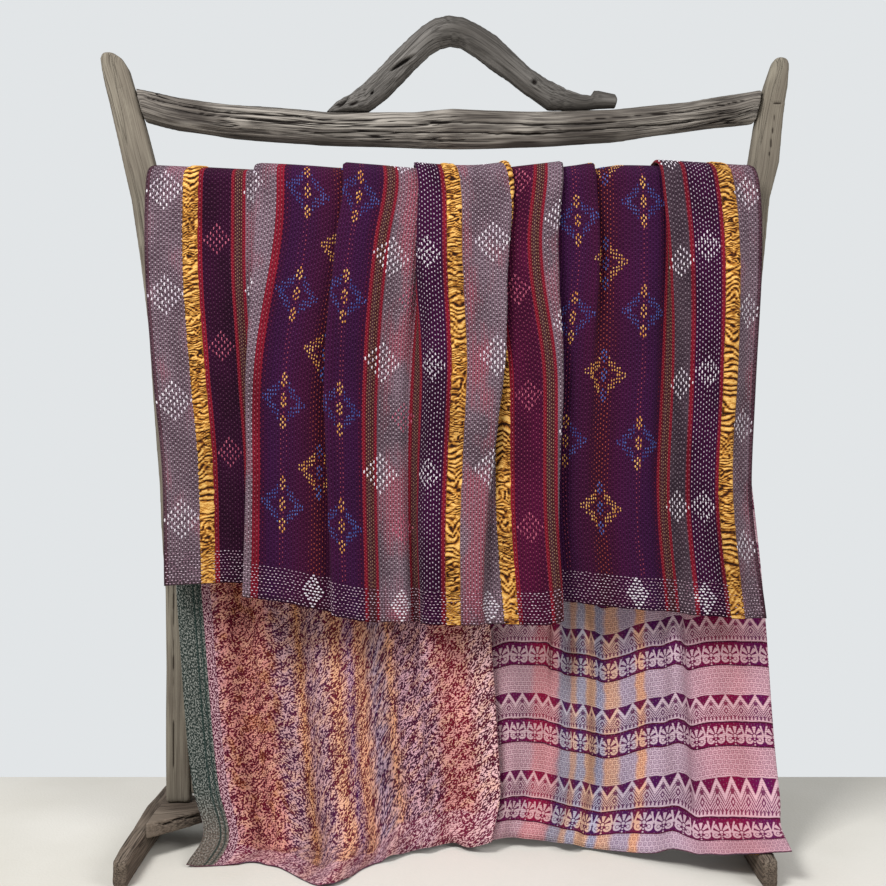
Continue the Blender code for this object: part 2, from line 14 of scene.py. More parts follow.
import bmesh
import bpy
import numpy as np
from bpy.types import ID, Material, Mesh, Node, NodeSocket, NodeTree, Object
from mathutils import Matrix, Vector


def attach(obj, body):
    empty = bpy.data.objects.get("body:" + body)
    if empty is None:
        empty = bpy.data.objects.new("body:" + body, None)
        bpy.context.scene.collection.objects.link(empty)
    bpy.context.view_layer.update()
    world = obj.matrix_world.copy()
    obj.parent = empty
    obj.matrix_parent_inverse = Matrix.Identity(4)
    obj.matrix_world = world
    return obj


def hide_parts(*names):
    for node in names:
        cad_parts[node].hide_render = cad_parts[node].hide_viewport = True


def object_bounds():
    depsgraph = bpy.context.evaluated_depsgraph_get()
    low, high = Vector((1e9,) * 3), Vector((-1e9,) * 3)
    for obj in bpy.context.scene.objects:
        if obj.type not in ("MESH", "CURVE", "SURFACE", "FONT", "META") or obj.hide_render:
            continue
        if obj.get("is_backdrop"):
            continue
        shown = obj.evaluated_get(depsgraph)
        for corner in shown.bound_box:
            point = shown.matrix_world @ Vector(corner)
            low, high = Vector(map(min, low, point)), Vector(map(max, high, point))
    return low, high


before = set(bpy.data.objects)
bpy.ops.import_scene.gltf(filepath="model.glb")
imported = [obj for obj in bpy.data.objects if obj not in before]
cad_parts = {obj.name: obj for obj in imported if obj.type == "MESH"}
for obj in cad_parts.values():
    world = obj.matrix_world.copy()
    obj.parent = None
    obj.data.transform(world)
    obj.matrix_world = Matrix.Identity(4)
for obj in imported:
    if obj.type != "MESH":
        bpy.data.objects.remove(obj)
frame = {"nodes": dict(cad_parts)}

LOG = logging.getLogger("kantha_quilt")
Vector3 = tuple[float, float, float]
Colour = str | tuple[float, float, float, float]
Places = float | np.ndarray
SHEET_MAP = "cloth"
STRIPE_MAP = "stripe"
PRINT_MAP = "print"
GRAIN = "grain"
CLOTH_WIDTH, CLOTH_LENGTH = 1.481, 2.2
PRINT_START = 0.745
EDGE_MARGIN = 0.001


# ---------------- numbers


def from_hex(text: str) -> Vector3:
    """A screen colour given by six hex digits, such as 7a6670, as linear light without alpha."""
    parts = (int(text[i : i + 2], 16) / 255 for i in (0, 2, 4))
    return tuple(c / 12.92 if c <= 0.04045 else ((c + 0.055) / 1.055) ** 2.4 for c in parts)


class SmoothCurve:
    """Monotone cubic through knots; each knot has one value, or a row of values."""

    def __init__(self, knots: Sequence[float], values: Sequence) -> None:
        """Works out the slope at every knot.

        Args:
            knots: Places where values are stated, in rising order.
            values: A value or a row of values for each.
        """
        self.knots = np.asarray(knots, float)
        self.values = np.asarray(values, float)
        self.run = np.diff(self.knots)
        run = self.run.reshape([-1] + [1] * (self.values.ndim - 1))
        slope = np.diff(self.values, axis=0) / run
        self.tangent = np.concatenate((slope[:1], (slope[:-1] + slope[1:]) / 2, slope[-1:]))
        limit = 3 * np.minimum(np.abs(slope[:-1]), np.abs(slope[1:]))
        held = np.sign(slope[1:]) * np.minimum(np.abs(self.tangent[1:-1]), limit)
        self.tangent[1:-1] = np.where(slope[:-1] * slope[1:] <= 0, 0.0, held)

    def __call__(self, where: float | np.ndarray) -> np.ndarray:
        """The curve's value at one place or at many.

        Args:
            where: Place or places.

        Returns:
            Value, or one row a place.
        """
        where = np.clip(where, self.knots[0], self.knots[-1])
        i = np.clip(np.searchsorted(self.knots, where) - 1, 0, len(self.run) - 1)
        t = (where - self.knots[i]) / self.run[i]
        rise = self.values[i] * (1 + 2 * t) * (1 - t) ** 2
        rise = rise + self.values[i + 1] * t * t * (3 - 2 * t)
        lean = self.tangent[i] * t * (1 - t) ** 2 - self.tangent[i + 1] * t * t * (1 - t)
        return rise + lean * self.run[i]


def soft_noise(x: np.ndarray, y: np.ndarray, seed: int) -> np.ndarray:
    """Smooth noise from -1 to 1 with a cell of one unit.

    Args:
        x: First coordinate of each point.
        y: Second coordinate of each point.
        seed: Chooses the pattern.

    Returns:
        One value a point.
    """
    lattice = np.random.default_rng(seed).uniform(-1, 1, (257, 257))
    x0, y0 = np.floor(x).astype(int), np.floor(y).astype(int)
    tx, ty = x - x0, y - y0
    tx, ty = tx * tx * (3 - 2 * tx), ty * ty * (3 - 2 * ty)
    a, b = x0 % 256, y0 % 256
    low = lattice[a, b] * (1 - tx) + lattice[a + 1, b] * tx
    high = lattice[a, b + 1] * (1 - tx) + lattice[a + 1, b + 1] * tx
    return low * (1 - ty) + high * ty


def linked(name: str, data: ID) -> Object:
    """A new object of the scene that shows a mesh, a camera or a light.

    Args:
        name: Name of the object.
        data: What it shows.

    Returns:
        The object.
    """
    made = bpy.data.objects.new(name, data)
    bpy.context.scene.collection.objects.link(made)
    return made


def quad_grid(rows: int, count: int) -> tuple[np.ndarray, np.ndarray]:
    """Number of the first corner of each face of a grid of points, and that face's column."""
    r, c = np.meshgrid(np.arange(rows - 1), np.arange(count - 1), indexing="ij")
    return (r * count + c).ravel(), c.ravel()


# ---------------- folds


class Level(NamedTuple):
    """A level at which the folds are stated; turn is the gap between a pleat's layers."""

    side: str
    z: float
    turn: float


class Edge(NamedTuple):
    """Where the two side edges of the cloth hang."""

    side: str
    z: float
    left: float
    right: float


class Pleat(NamedTuple):
    """A pleat: its place in the flat cloth at four levels, its upper side and its takes.

    A take below zero has the other side on top.
    """

    back: float
    rail: float
    waist: float
    hem: float
    over: int
    takes: tuple[float, ...]


class Wave(NamedTuple):
    """A soft fold: its middle and width in the flat cloth, its side and its takes."""

    at: float
    width: float
    out: int
    takes: tuple[float, ...]


class Panel(NamedTuple):
    """A panel between folds: how far it stands out and where its two hems lie."""

    at: float
    shoulder: float
    waist: float
    hem: float
    hem_z: float
    low_y: float
    back_y: float
    back_z: float


class Sweep(NamedTuple):
    """A step of the back flap's way forward to its hem."""

    part: float
    done: float
    z: float
    flared: float
    hem: float


LEVELS = (
    Level("back", 0.02, 0.013), Level("back", 0.42, 0.012), Level("back", 0.85, 0.009),
    Level("back", 1.3, 0.0058), Level("front", 1.29, 0.0058), Level("front", 1.15, 0.009),
    Level("front", 0.89, 0.012), Level("front", 0.46, 0.014)
)
EDGES = (
    Edge("back", 0.01, -0.47, 0.606), Edge("back", 0.08, -0.45, 0.614),
    Edge("back", 0.18, -0.478, 0.629), Edge("back", 0.42, -0.512, 0.616),
    Edge("back", 0.85, -0.53, 0.575), Edge("back", 1.3, -0.538, 0.567),
    Edge("front", 1.29, -0.562, 0.588), Edge("front", 1.15, -0.567, 0.598),
    Edge("front", 0.89, -0.552, 0.586), Edge("front", 0.7, -0.534, 0.577),
    Edge("front", 0.46, -0.529, 0.604)
)
PLEATS = (
    Pleat(0.22, 0.215, 0.232, 0.224, 1, (0.0, 0.0, 0.01, 0.011, 0.011, 0.016, 0.068, 0.094)),
    Pleat(0.44, 0.425, 0.43, 0.44, 1, (0.002, 0.004, 0.04, 0.039, 0.039, 0.058, 0.035, 0.016)),
    Pleat(0.61, 0.633, 0.622, 0.64, 1, (0.0, 0.0, 0.046, 0.072, 0.072, 0.047, 0.01, 0.003)),
    Pleat(0.745, 0.85, 0.818, 0.78, -1, (-0.19, -0.15, 0.0, 0.01, 0.036, 0.062, 0.04, 0.01)),
    Pleat(0.99, 1.0, 0.99, 0.975, -1, (0.002, 0.014, 0.07, 0.076, 0.076, 0.057, 0.104, 0.11)),
    Pleat(1.13, 1.125, 1.13, 1.14, -1, (0.0, 0.0, 0.01, 0.012, 0.012, 0.02, 0.004, 0.002)),
    Pleat(1.28, 1.282, 1.278, 1.27, 1, (0.002, 0.004, 0.026, 0.031, 0.031, 0.022, 0.006, 0.004))
)
WAVES = (
    Wave(0.13, 0.09, 1, (0.016, 0.014, 0.004, 0.0, 0.0, 0.0, 0.0, 0.0)),
    Wave(0.33, 0.23, -1, (0.066, 0.034, 0.004, 0.0, 0.0, 0.0, 0.004, 0.008)),
    Wave(0.52, 0.12, 1, (0.026, 0.026, 0.01, 0.0, 0.0, 0.0, 0.004, 0.006)),
    Wave(0.63, 0.09, -1, (0.0, 0.0, 0.0, 0.0, 0.0, 0.004, 0.016, 0.02)),
    Wave(0.935, 0.09, 1, (0.018, 0.0, 0.0, 0.0, 0.0, 0.0, 0.0, 0.0)),
    Wave(1.07, 0.11, -1, (0.03, 0.034, 0.01, 0.0, 0.0, 0.0, 0.002, 0.006)),
    Wave(1.285, 0.09, -1, (0.004, 0.024, 0.006, 0.0, 0.0, 0.004, 0.018, 0.014)),
    Wave(1.415, 0.1, 1, (0.0, 0.0, 0.0, 0.0, 0.0, 0.006, 0.018, 0.008))
)
PANELS = (
    Panel(0.0, 0.002, 0.004, 0.006, 0.5, -0.036, -0.165, 0.007),
    Panel(0.15, 0.002, 0.002, 0.004, 0.506, -0.036, -0.172, 0.007),
    Panel(0.2, 0.005, 0.008, 0.012, 0.494, -0.034, -0.184, 0.007),
    Panel(0.27, 0.01, 0.016, 0.022, 0.482, -0.032, -0.24, 0.007),
    Panel(0.33, 0.012, 0.022, 0.028, 0.473, -0.03, -0.254, 0.007),
    Panel(0.41, 0.011, 0.018, 0.025, 0.457, -0.028, -0.176, 0.007),
    Panel(0.54, 0.01, 0.012, 0.02, 0.434, -0.026, -0.092, 0.007),
    Panel(0.62, 0.011, 0.016, 0.023, 0.432, -0.028, -0.064, 0.01),
    Panel(0.7, 0.012, 0.02, 0.026, 0.43, -0.03, -0.08, 0.007),
    Panel(0.9, 0.014, 0.018, 0.024, 0.432, -0.026, -0.064, 0.02),
    Panel(1.06, 0.004, 0.0, 0.002, 0.47, -0.03, -0.09, 0.018),
    Panel(1.2, 0.01, 0.012, 0.016, 0.458, -0.026, -0.12, 0.012),
    Panel(1.345, 0.01, 0.014, 0.022, 0.448, -0.034, -0.205, 0.042),
    Panel(1.481, 0.002, 0.002, 0.012, 0.44, -0.036, -0.25, 0.062)
)
SWEEPS = (
    Sweep(0.8, 0.16, 0.24, 0.09, 0.0), Sweep(0.92, 0.46, 0.11, 0.07, 0.5),
    Sweep(1.0, 1.0, 0.0, 0.0, 1.0)
)


@dataclass(frozen=True)
class HangingSheet:
    """The quilt's middle surface as it hangs: level sections laid along paths over the rail."""

    width: float = CLOTH_WIDTH
    length: float = CLOTH_LENGTH
    rail_y: float = -0.042
    rail_z: float = 1.263
    wrap_radius: float = 0.0355
    wrap_behind: float = math.radians(9)
    clear_part: float = 0.08
    clear_y: float = -0.0245
    clear_z: float = 1.175
    knee_part: float = 0.62
    knee_z: float = 0.42
    front_z: float = 0.46
    flare_from: float = 0.06
    flare_full: float = 0.18
    path_step: float = 0.01
    lowest: float = 0.0026
    samples: int = 2200
    back_rows: int = 84
    rail_rows: int = 16
    front_rows: int = 60

    def station(self, side: str, z: float) -> float:
        """Distance along the cloth from the top of the rail to height z, back flap negative."""
        drop = self.wrap_radius * math.pi / 2 + self.rail_z - z
        return -drop if side == "back" else drop

    def level_curve(self, values: Sequence[float]) -> SmoothCurve:
        """A value stated at every level, as a curve along the cloth."""
        return SmoothCurve([self.station(level.side, level.z) for level in LEVELS], values)

    @staticmethod
    def steepness(take: float, length: float, used: Callable[[float], float]) -> float:
        """The largest direction whose fold of this length takes up this much cloth.

        Args:
            take: Cloth to take up.
            length: Length of the fold.
            used: Share of the length that a direction takes up.

        Returns:
            The direction in radians.
        """
        low, high = 0.0, math.pi
        for _ in range(24):
            middle = (low + high) / 2
            if used(middle) * length < take:
                low = middle
            else:
                high = middle
        return low

    def pleat_heading(self, along: np.ndarray, pleat: Pleat, where: float) -> tuple:
        """Direction of the section across one pleat.

        Args:
            along: Flat places of the section's samples.
            pleat: The pleat.
            where: Station of the section.

        Returns:
            The direction at each sample, and the flat places where the pleat starts and stops.
        """
        picked = [self.station(LEVELS[i].side, LEVELS[i].z) for i in (0, 1, 3, 4, 6, 7)]
        places = (pleat.back, pleat.back, pleat.rail, pleat.rail, pleat.waist, pleat.hem)
        place = float(SmoothCurve(picked, places)(where))
        signed = float(self.level_curve(pleat.takes)(where))
        take, over = abs(signed), math.copysign(1, signed) * pleat.over
        ramp = float(self.level_curve([level.turn for level in LEVELS])(where)) * math.pi / 2
        flat = max(0.0, take / 2 - ramp)
        reach = ramp + flat / 2
        most = math.pi
        if flat == 0.0:
            most = self.steepness(take, 2 * ramp, lambda a: 1 - math.sin(a) / a)
        rise = np.clip((along - place + reach) / ramp, 0, 1)
        heading = over * most * np.minimum(rise, np.clip((reach - along + place) / ramp, 0, 1))
        return heading, place - reach - flat, place + reach + flat

    def wave_heading(self, along: np.ndarray, wave: Wave, where: float) -> np.ndarray:
        """Direction of the section across one soft fold.

        Args:
            along: Flat places of the section's samples.
            wave: The fold.
            where: Station of the section.

        Returns:
            The direction at each sample.
        """
        turn = np.linspace(0, 2 * math.pi, 48, endpoint=False)
        take = float(self.level_curve(wave.takes)(where))
        most = self.steepness(take, wave.width, lambda a: 1 - np.cos(a * np.sin(turn)).mean())
        away = along - wave.at
        bend = -most * np.sin(2 * math.pi * away / wave.width)
        return wave.out * np.where(np.abs(away) < wave.width / 2, bend, 0.0)

    def section(self, where: float, columns: np.ndarray) -> tuple:
        """One level section of the hanging cloth.

        Args:
            where: Station of the section, measured from the top of the rail.
            columns: Flat places of the mesh columns.

        Returns:
            X, outward depth and hung place of every column.
        """
        along = np.linspace(0.0, self.width, self.samples)
        heading = np.zeros_like(along)
        starts, stops = [], []
        for pleat in PLEATS:
            turn, start, stop = self.pleat_heading(along, pleat, where)
            heading += turn
            starts.append(start)
            stops.append(stop)
        for wave in WAVES:
            heading += self.wave_heading(along, wave, where)
        step = along[1] - along[0]
        across = np.concatenate(([0.0], np.cumsum(np.cos(heading[:-1]) * step)))
        depth = np.concatenate(([0.0], np.cumsum(np.sin(heading[:-1]) * step)))
        edges = SmoothCurve([self.station(e.side, e.z) for e in EDGES], [e[2:] for e in EDGES])
        left, right = edges(where)
        xs = left + across * (right - left) / across[-1]
        rests = [0.0] + [(a + b) / 2 for a, b in zip(stops, starts[1:])] + [self.width]
        rest_x = np.interp(rests, along, xs)
        depth -= SmoothCurve(rest_x, np.interp(rests, along, depth))(xs)
        x = np.interp(columns, along, xs)
        return x, np.interp(columns, along, depth), np.interp(x, rest_x, rests)

    @staticmethod
    def panel_curve(name: str) -> SmoothCurve:
        """One column of the panel table, as a curve across the flat cloth."""
        return SmoothCurve([p.at for p in PANELS], [getattr(p, name) for p in PANELS])

    def front_row(self, part: float, columns: np.ndarray) -> np.ndarray:
        """Points of the row at this part of the way from the rail to the front hem.

        Args:
            part: 0 at the rail, 1 at the hem.
            columns: Flat places of the mesh columns.

        Returns:
            Points, one a column.
        """
        where = self.station("front", self.rail_z + part * (self.front_z - self.rail_z))
        x, depth, hung = self.section(where, columns)
        drop = self.rail_z - self.front_z
        knots = [0.0] + [(self.rail_z - level.z) / drop for level in LEVELS[5:]]
        outs = [self.panel_curve(name)(hung) for name in ("shoulder", "waist", "hem")]
        out = self.wrap_radius + depth + SmoothCurve(knots, [0 * hung] + outs)(part)
        z = self.rail_z + part * (self.panel_curve("hem_z")(columns) - self.rail_z)
        return np.column_stack((x, self.rail_y - out, z))

    def rail_row(self, angle: float, columns: np.ndarray) -> np.ndarray:
        """Points of the row over the rail at this angle from the front.

        Args:
            angle: Angle in radians.
            columns: Flat places of the mesh columns.

        Returns:
            Points, one a column.
        """
        x, depth, _ = self.section(self.wrap_radius * (math.pi / 2 - angle), columns)
        out = self.wrap_radius + depth
        y, z = self.rail_y - out * math.cos(angle), self.rail_z + out * math.sin(angle)
        return np.column_stack((x, y, z))

    def back_path(self, hung: np.ndarray) -> SmoothCurve:
        """Depth and height along the back flap, for every hung place, depths first.

        Args:
            hung: Hung places.

        Returns:
            Curve over the part of the way down.
        """
        low_y, hem_y, hem_z = (self.panel_curve(n)(hung) for n in ("low_y", "back_y", "back_z"))
        flare = np.clip((-hem_y - self.flare_from) / (self.flare_full - self.flare_from), 0, 1)
        end_y = self.rail_y + self.wrap_radius * math.cos(self.wrap_behind)
        end_z = self.rail_z - self.wrap_radius * math.sin(self.wrap_behind)
        same = np.ones_like(hung)
        ys = [end_y * same, self.clear_y * same, low_y]
        zs = [end_z * same, self.clear_z * same, self.knee_z * same]
        ys += [low_y + s.done * (hem_y - low_y) for s in SWEEPS]
        zs += [s.z - s.flared * flare + s.hem * hem_z for s in SWEEPS]
        knots = [0.0, self.clear_part, self.knee_part] + [s.part for s in SWEEPS]
        return SmoothCurve(knots, [np.concatenate(pair) for pair in zip(ys, zs)])

    def back_row(self, part: float, columns: np.ndarray) -> np.ndarray:
        """Points of the row at this part of the way from the rail to the back hem.

        Args:
            part: 0 at the rail, 1 at the hem.
            columns: Flat places of the mesh columns.

        Returns:
            Points, one a column.
        """
        middle = self.back_path(np.array([self.width / 2]))(part)
        x, depth, hung = self.section(self.station("back", float(middle[1])), columns)
        path = self.back_path(hung)
        count = len(columns)
        here = path(part)
        ahead = path(part + self.path_step) - path(part - self.path_step)
        run = np.hypot(ahead[:count], ahead[count:])
        y = here[:count] - depth * ahead[count:] / run
        z = here[count:] + depth * ahead[:count] / run
        return np.column_stack((x, y, np.maximum(self.lowest, z)))

    def rows(self, columns: np.ndarray) -> np.ndarray:
        """All rows from the back hem, over the rail, to the front hem.

        Args:
            columns: Flat places of the mesh columns.

        Returns:
            Points, one row of columns after another.
        """
        down = np.linspace(1.0, 0.0, self.back_rows + 1)[:-1]
        rows = [self.back_row(part, columns) for part in down]
        over = np.linspace(math.pi + self.wrap_behind, 0.0, self.rail_rows + 1)[:-1]
        rows += [self.rail_row(angle, columns) for angle in over]
        out = np.linspace(0.0, 1.0, self.front_rows + 1)
        rows += [self.front_row(part, columns) for part in out]
        return np.array(rows)


class Kind(Enum):
    """Grounds of the striped face."""

    MAUVE = "mauve"
    EDGE = "edge"
    WIDE = "wide"
    PLUM = "plum"
    MAGENTA = "magenta"
    DUSK = "dusk"
    RED = "red"
    PIN = "pin"
    GOLD = "gold"
    SLATE = "slate"


class Stripe(NamedTuple):
    """One lengthwise stripe: where it ends across the cloth, and its ground."""

    end: float
    kind: Kind


STRIPES = (
    Stripe(0.008, Kind.EDGE), Stripe(0.072, Kind.MAUVE), Stripe(0.101, Kind.GOLD),
    Stripe(0.11, Kind.RED), Stripe(0.165, Kind.DUSK), Stripe(0.193, Kind.PIN),
    Stripe(0.266, Kind.MAUVE), Stripe(0.281, Kind.RED), Stripe(0.516, Kind.WIDE),
    Stripe(0.545, Kind.PIN), Stripe(0.613, Kind.MAUVE), Stripe(0.642, Kind.PIN),
    Stripe(0.697, Kind.PLUM), Stripe(0.706, Kind.RED), Stripe(0.735, Kind.GOLD),
    Stripe(0.83, Kind.MAUVE), Stripe(0.859, Kind.GOLD), Stripe(0.867, Kind.RED),
    Stripe(0.922, Kind.MAGENTA), Stripe(0.95, Kind.PIN), Stripe(1.005, Kind.MAUVE),
    Stripe(1.033, Kind.PIN), Stripe(1.268, Kind.WIDE), Stripe(1.295, Kind.PIN),
    Stripe(1.33, Kind.SLATE), Stripe(1.339, Kind.RED), Stripe(1.392, Kind.PLUM), Stripe(1.4, Kind.RED),
    Stripe(1.429, Kind.GOLD), Stripe(1.473, Kind.MAUVE), Stripe(1.481, Kind.EDGE)
)


@dataclass
class QuiltCloth:
    """The double-sided cloth, a thin closed sheet on the folds of its solid."""

    shape: HangingSheet = field(default_factory=HangingSheet)
    thickness: float = 0.0022
    column_step: float = 0.0058
    swell: float = 0.0016
    join: float = PRINT_START
    border: float = 0.066
    lowest: float = 0.0012
    columns: np.ndarray = field(init=False)
    points: np.ndarray = field(init=False)
    normals: np.ndarray = field(init=False)
    drops: np.ndarray = field(init=False)

    def __post_init__(self) -> None:
        """Works out the middle surface, its normals and its lengthwise places."""
        self.columns = self.column_places()
        self.points = self.shape.rows(self.columns)
        self.normals = self.outward_normals()
        runs = np.linalg.norm(np.diff(self.points, axis=0), axis=2)
        climbed = np.concatenate((np.cumsum(runs[::-1], axis=0)[::-1], 0 * runs[:1]))
        self.drops = climbed * self.shape.length / climbed[0]
        self.points += self.normals * self.undulation()[..., None]
        self.normals = self.outward_normals()

    def column_places(self) -> np.ndarray:
        """Flat places of the columns, with one on every edge of a stripe.

        Returns:
            Places in rising order.
        """
        stops = [0.0] + [stripe.end for stripe in STRIPES] + [self.border, self.join]
        stops = sorted(set(stops))
        places = [0.0]
        for start, stop in zip(stops, stops[1:]):
            count = max(1, round((stop - start) / self.column_step))
            places += list(np.linspace(start, stop, count + 1)[1:])
        return np.array(places)

    def outward_normals(self) -> np.ndarray:
        """Unit normals towards the striped face, one a point."""
        normal = np.cross(np.gradient(self.points, axis=0), np.gradient(self.points, axis=1))
        return normal / np.linalg.norm(normal, axis=2, keepdims=True)

    def undulation(self) -> np.ndarray:
        """Soft unevenness of the quilted layers, less at the rail and along the hems.

        Returns:
            Offset of each point along its normal.
        """
        u = np.broadcast_to(self.columns, self.drops.shape)
        v = self.drops
        wide = soft_noise(u / 0.055, v / 0.16, 3)
        fine = soft_noise(u / 0.021 + 9, v / 0.05, 4)
        rows = len(self.points)
        top = self.shape.back_rows + self.shape.rail_rows / 2
        away = np.abs(np.arange(rows) - top) / self.shape.rail_rows
        return self.swell * (0.8 * wide + 0.45 * fine) * np.clip(away - 0.4, 0.15, 1)[:, None]

    def place(self, u: np.ndarray, v: np.ndarray) -> tuple:
        """Points of the middle surface.

        Args:
            u: Places across the flat cloth.
            v: Places along it, from the front hem.

        Returns:
            Points, normals, unit directions across and unit directions up the cloth.
        """
        column = np.clip(np.interp(u, self.columns, np.arange(len(self.columns))), 0, None)
        c0 = np.minimum(column.astype(int), len(self.columns) - 2)
        tc = (column - c0)[:, None]
        row = np.empty(len(v))
        for i, (c, value) in enumerate(zip(c0, v)):
            down = self.drops[::-1, c]
            row[i] = len(down) - 1 - np.interp(value, down, np.arange(len(down)))
        r0 = np.minimum(row.astype(int), len(self.points) - 2)
        tr = (row - r0)[:, None]
        grid = self.points
        near = grid[r0, c0] * (1 - tc) + grid[r0, c0 + 1] * tc
        far = grid[r0 + 1, c0] * (1 - tc) + grid[r0 + 1, c0 + 1] * tc
        point = near * (1 - tr) + far * tr
        across = (grid[r0, c0 + 1] - grid[r0, c0]) * (1 - tr)
        across = across + (grid[r0 + 1, c0 + 1] - grid[r0 + 1, c0]) * tr
        across /= np.linalg.norm(across, axis=1, keepdims=True)
        up = near - far
        up /= np.linalg.norm(up, axis=1, keepdims=True)
        normal = np.cross(across, up)
        normal /= np.linalg.norm(normal, axis=1, keepdims=True)
        return point, normal, across, up

    def drop_at(self, u: float, z: float) -> float:
        """Place along the front flap of height z in the column nearest to u.

        Args:
            u: Flat place across the cloth.
            z: Height.

        Returns:
            Place along the cloth from the front hem.
        """
        c = int(np.argmin(np.abs(self.columns - u)))
        first = self.shape.back_rows + self.shape.rail_rows
        z_down, v_down = self.points[first:, c, 2][::-1], self.drops[first:, c][::-1]
        return float(np.interp(z, z_down, v_down))

    def build(self, looks: dict) -> Object:
        """The closed sheet: striped face, inner face and a rim.

        Args:
            looks: Materials by the name of their ground.

        Returns:
            The quilt's object.
        """
        rows, count = self.drops.shape
        half = self.thickness / 2
        outer = (self.points + self.normals * half).reshape(-1, 3)
        inner = (self.points - self.normals * half).reshape(-1, 3)
        verts = np.concatenate((outer, inner))
        verts[:, 2] = np.maximum(verts[:, 2], self.lowest)
        a, face_column = quad_grid(rows, count)
        quads = np.column_stack((a, a + count, a + count + 1, a + 1))
        back = quads[:, ::-1] + rows * count
        ring = list(range(count))
        ring += [i * count + count - 1 for i in range(1, rows)]
        ring += [(rows - 1) * count + i for i in range(count - 2, -1, -1)]
        ring += [i * count for i in range(rows - 2, 0, -1)]
        ring = np.array(ring)
        after = np.roll(ring, -1)
        rim = np.column_stack((ring, after, after + rows * count, ring + rows * count))
        faces = np.concatenate((quads, back, rim))
        mesh = bpy.data.meshes.new("quilt_cloth")
        mesh.from_pydata(verts.tolist(), [], faces.tolist())
        names = list(looks)
        for name in names:
            mesh.materials.append(looks[name])
        u = np.tile(self.columns, rows)
        v = self.drops.ravel()
        middle = (self.columns[:-1] + self.columns[1:]) / 2
        ends = np.array([stripe.end for stripe in STRIPES])
        which = np.searchsorted(ends, middle)
        stripe_slot = np.array([names.index(STRIPES[i].kind.value) for i in which])
        prints = np.searchsorted((self.border, self.join), middle, side="right")
        print_slot = np.array([names.index(("border", "speckle", "bands")[i]) for i in prints])
        slots = np.concatenate((stripe_slot[face_column], print_slot[face_column]))
        slots = np.concatenate((slots, np.full(len(rim), names.index("rim"))))
        mesh.polygons.foreach_set("material_index", slots)
        corners = faces.ravel() % (rows * count)
        flat = np.column_stack((u[corners], v[corners]))
        sheet_map = mesh.uv_layers.new(name=SHEET_MAP)
        sheet_map.data.foreach_set("uv", flat.ravel())
        starts = np.concatenate(([0.0], ends[:-1]))
        local = flat.copy()
        per_face = np.concatenate((which[face_column], which[face_column], np.zeros(len(rim), int)))
        per_corner = np.repeat(per_face, 4)
        local[:, 0] = (local[:, 0] - starts[per_corner]) / (ends - starts)[per_corner]
        stripe_map = mesh.uv_layers.new(name=STRIPE_MAP)
        stripe_map.data.foreach_set("uv", local.ravel())
        mesh.polygons.foreach_set("use_smooth", np.ones(len(faces), bool))
        mesh.update()
        mesh.validate()
        return linked("quilt_cloth", mesh)


# ---------------- node building


@dataclass(frozen=True)
class Signal:
    """A value that flows between nodes; arithmetic on it adds Math nodes."""

    net: "Net"
    socket: NodeSocket

    def __add__(self, other: "Signal | float") -> "Signal":
        """This and the other."""
        return self.net.math("ADD", self, other)

    def __sub__(self, other: "Signal | float") -> "Signal":
        """This less the other."""
        return self.net.math("SUBTRACT", self, other)

    def __rsub__(self, other: float) -> "Signal":
        """The other less this."""
        return self.net.math("SUBTRACT", other, self)

    def __mul__(self, other: "Signal | float") -> "Signal":
        """This times the other."""
        return self.net.math("MULTIPLY", self, other)

    def __truediv__(self, other: "Signal | float") -> "Signal":
        """This divided by the other."""
        return self.net.math("DIVIDE", self, other)

    def __mod__(self, other: float) -> "Signal":
        """What remains of this after whole steps of the other."""
        return self.net.math("FLOORED_MODULO", self, other)

    def __abs__(self) -> "Signal":
        """This without its sign."""
        return self.net.math("ABSOLUTE", self)

    def fract(self) -> "Signal":
        """Its part after the point."""
        return self.net.math("FRACT", self)

    def sine(self) -> "Signal":
        """Its sine."""
        return self.net.math("SINE", self)


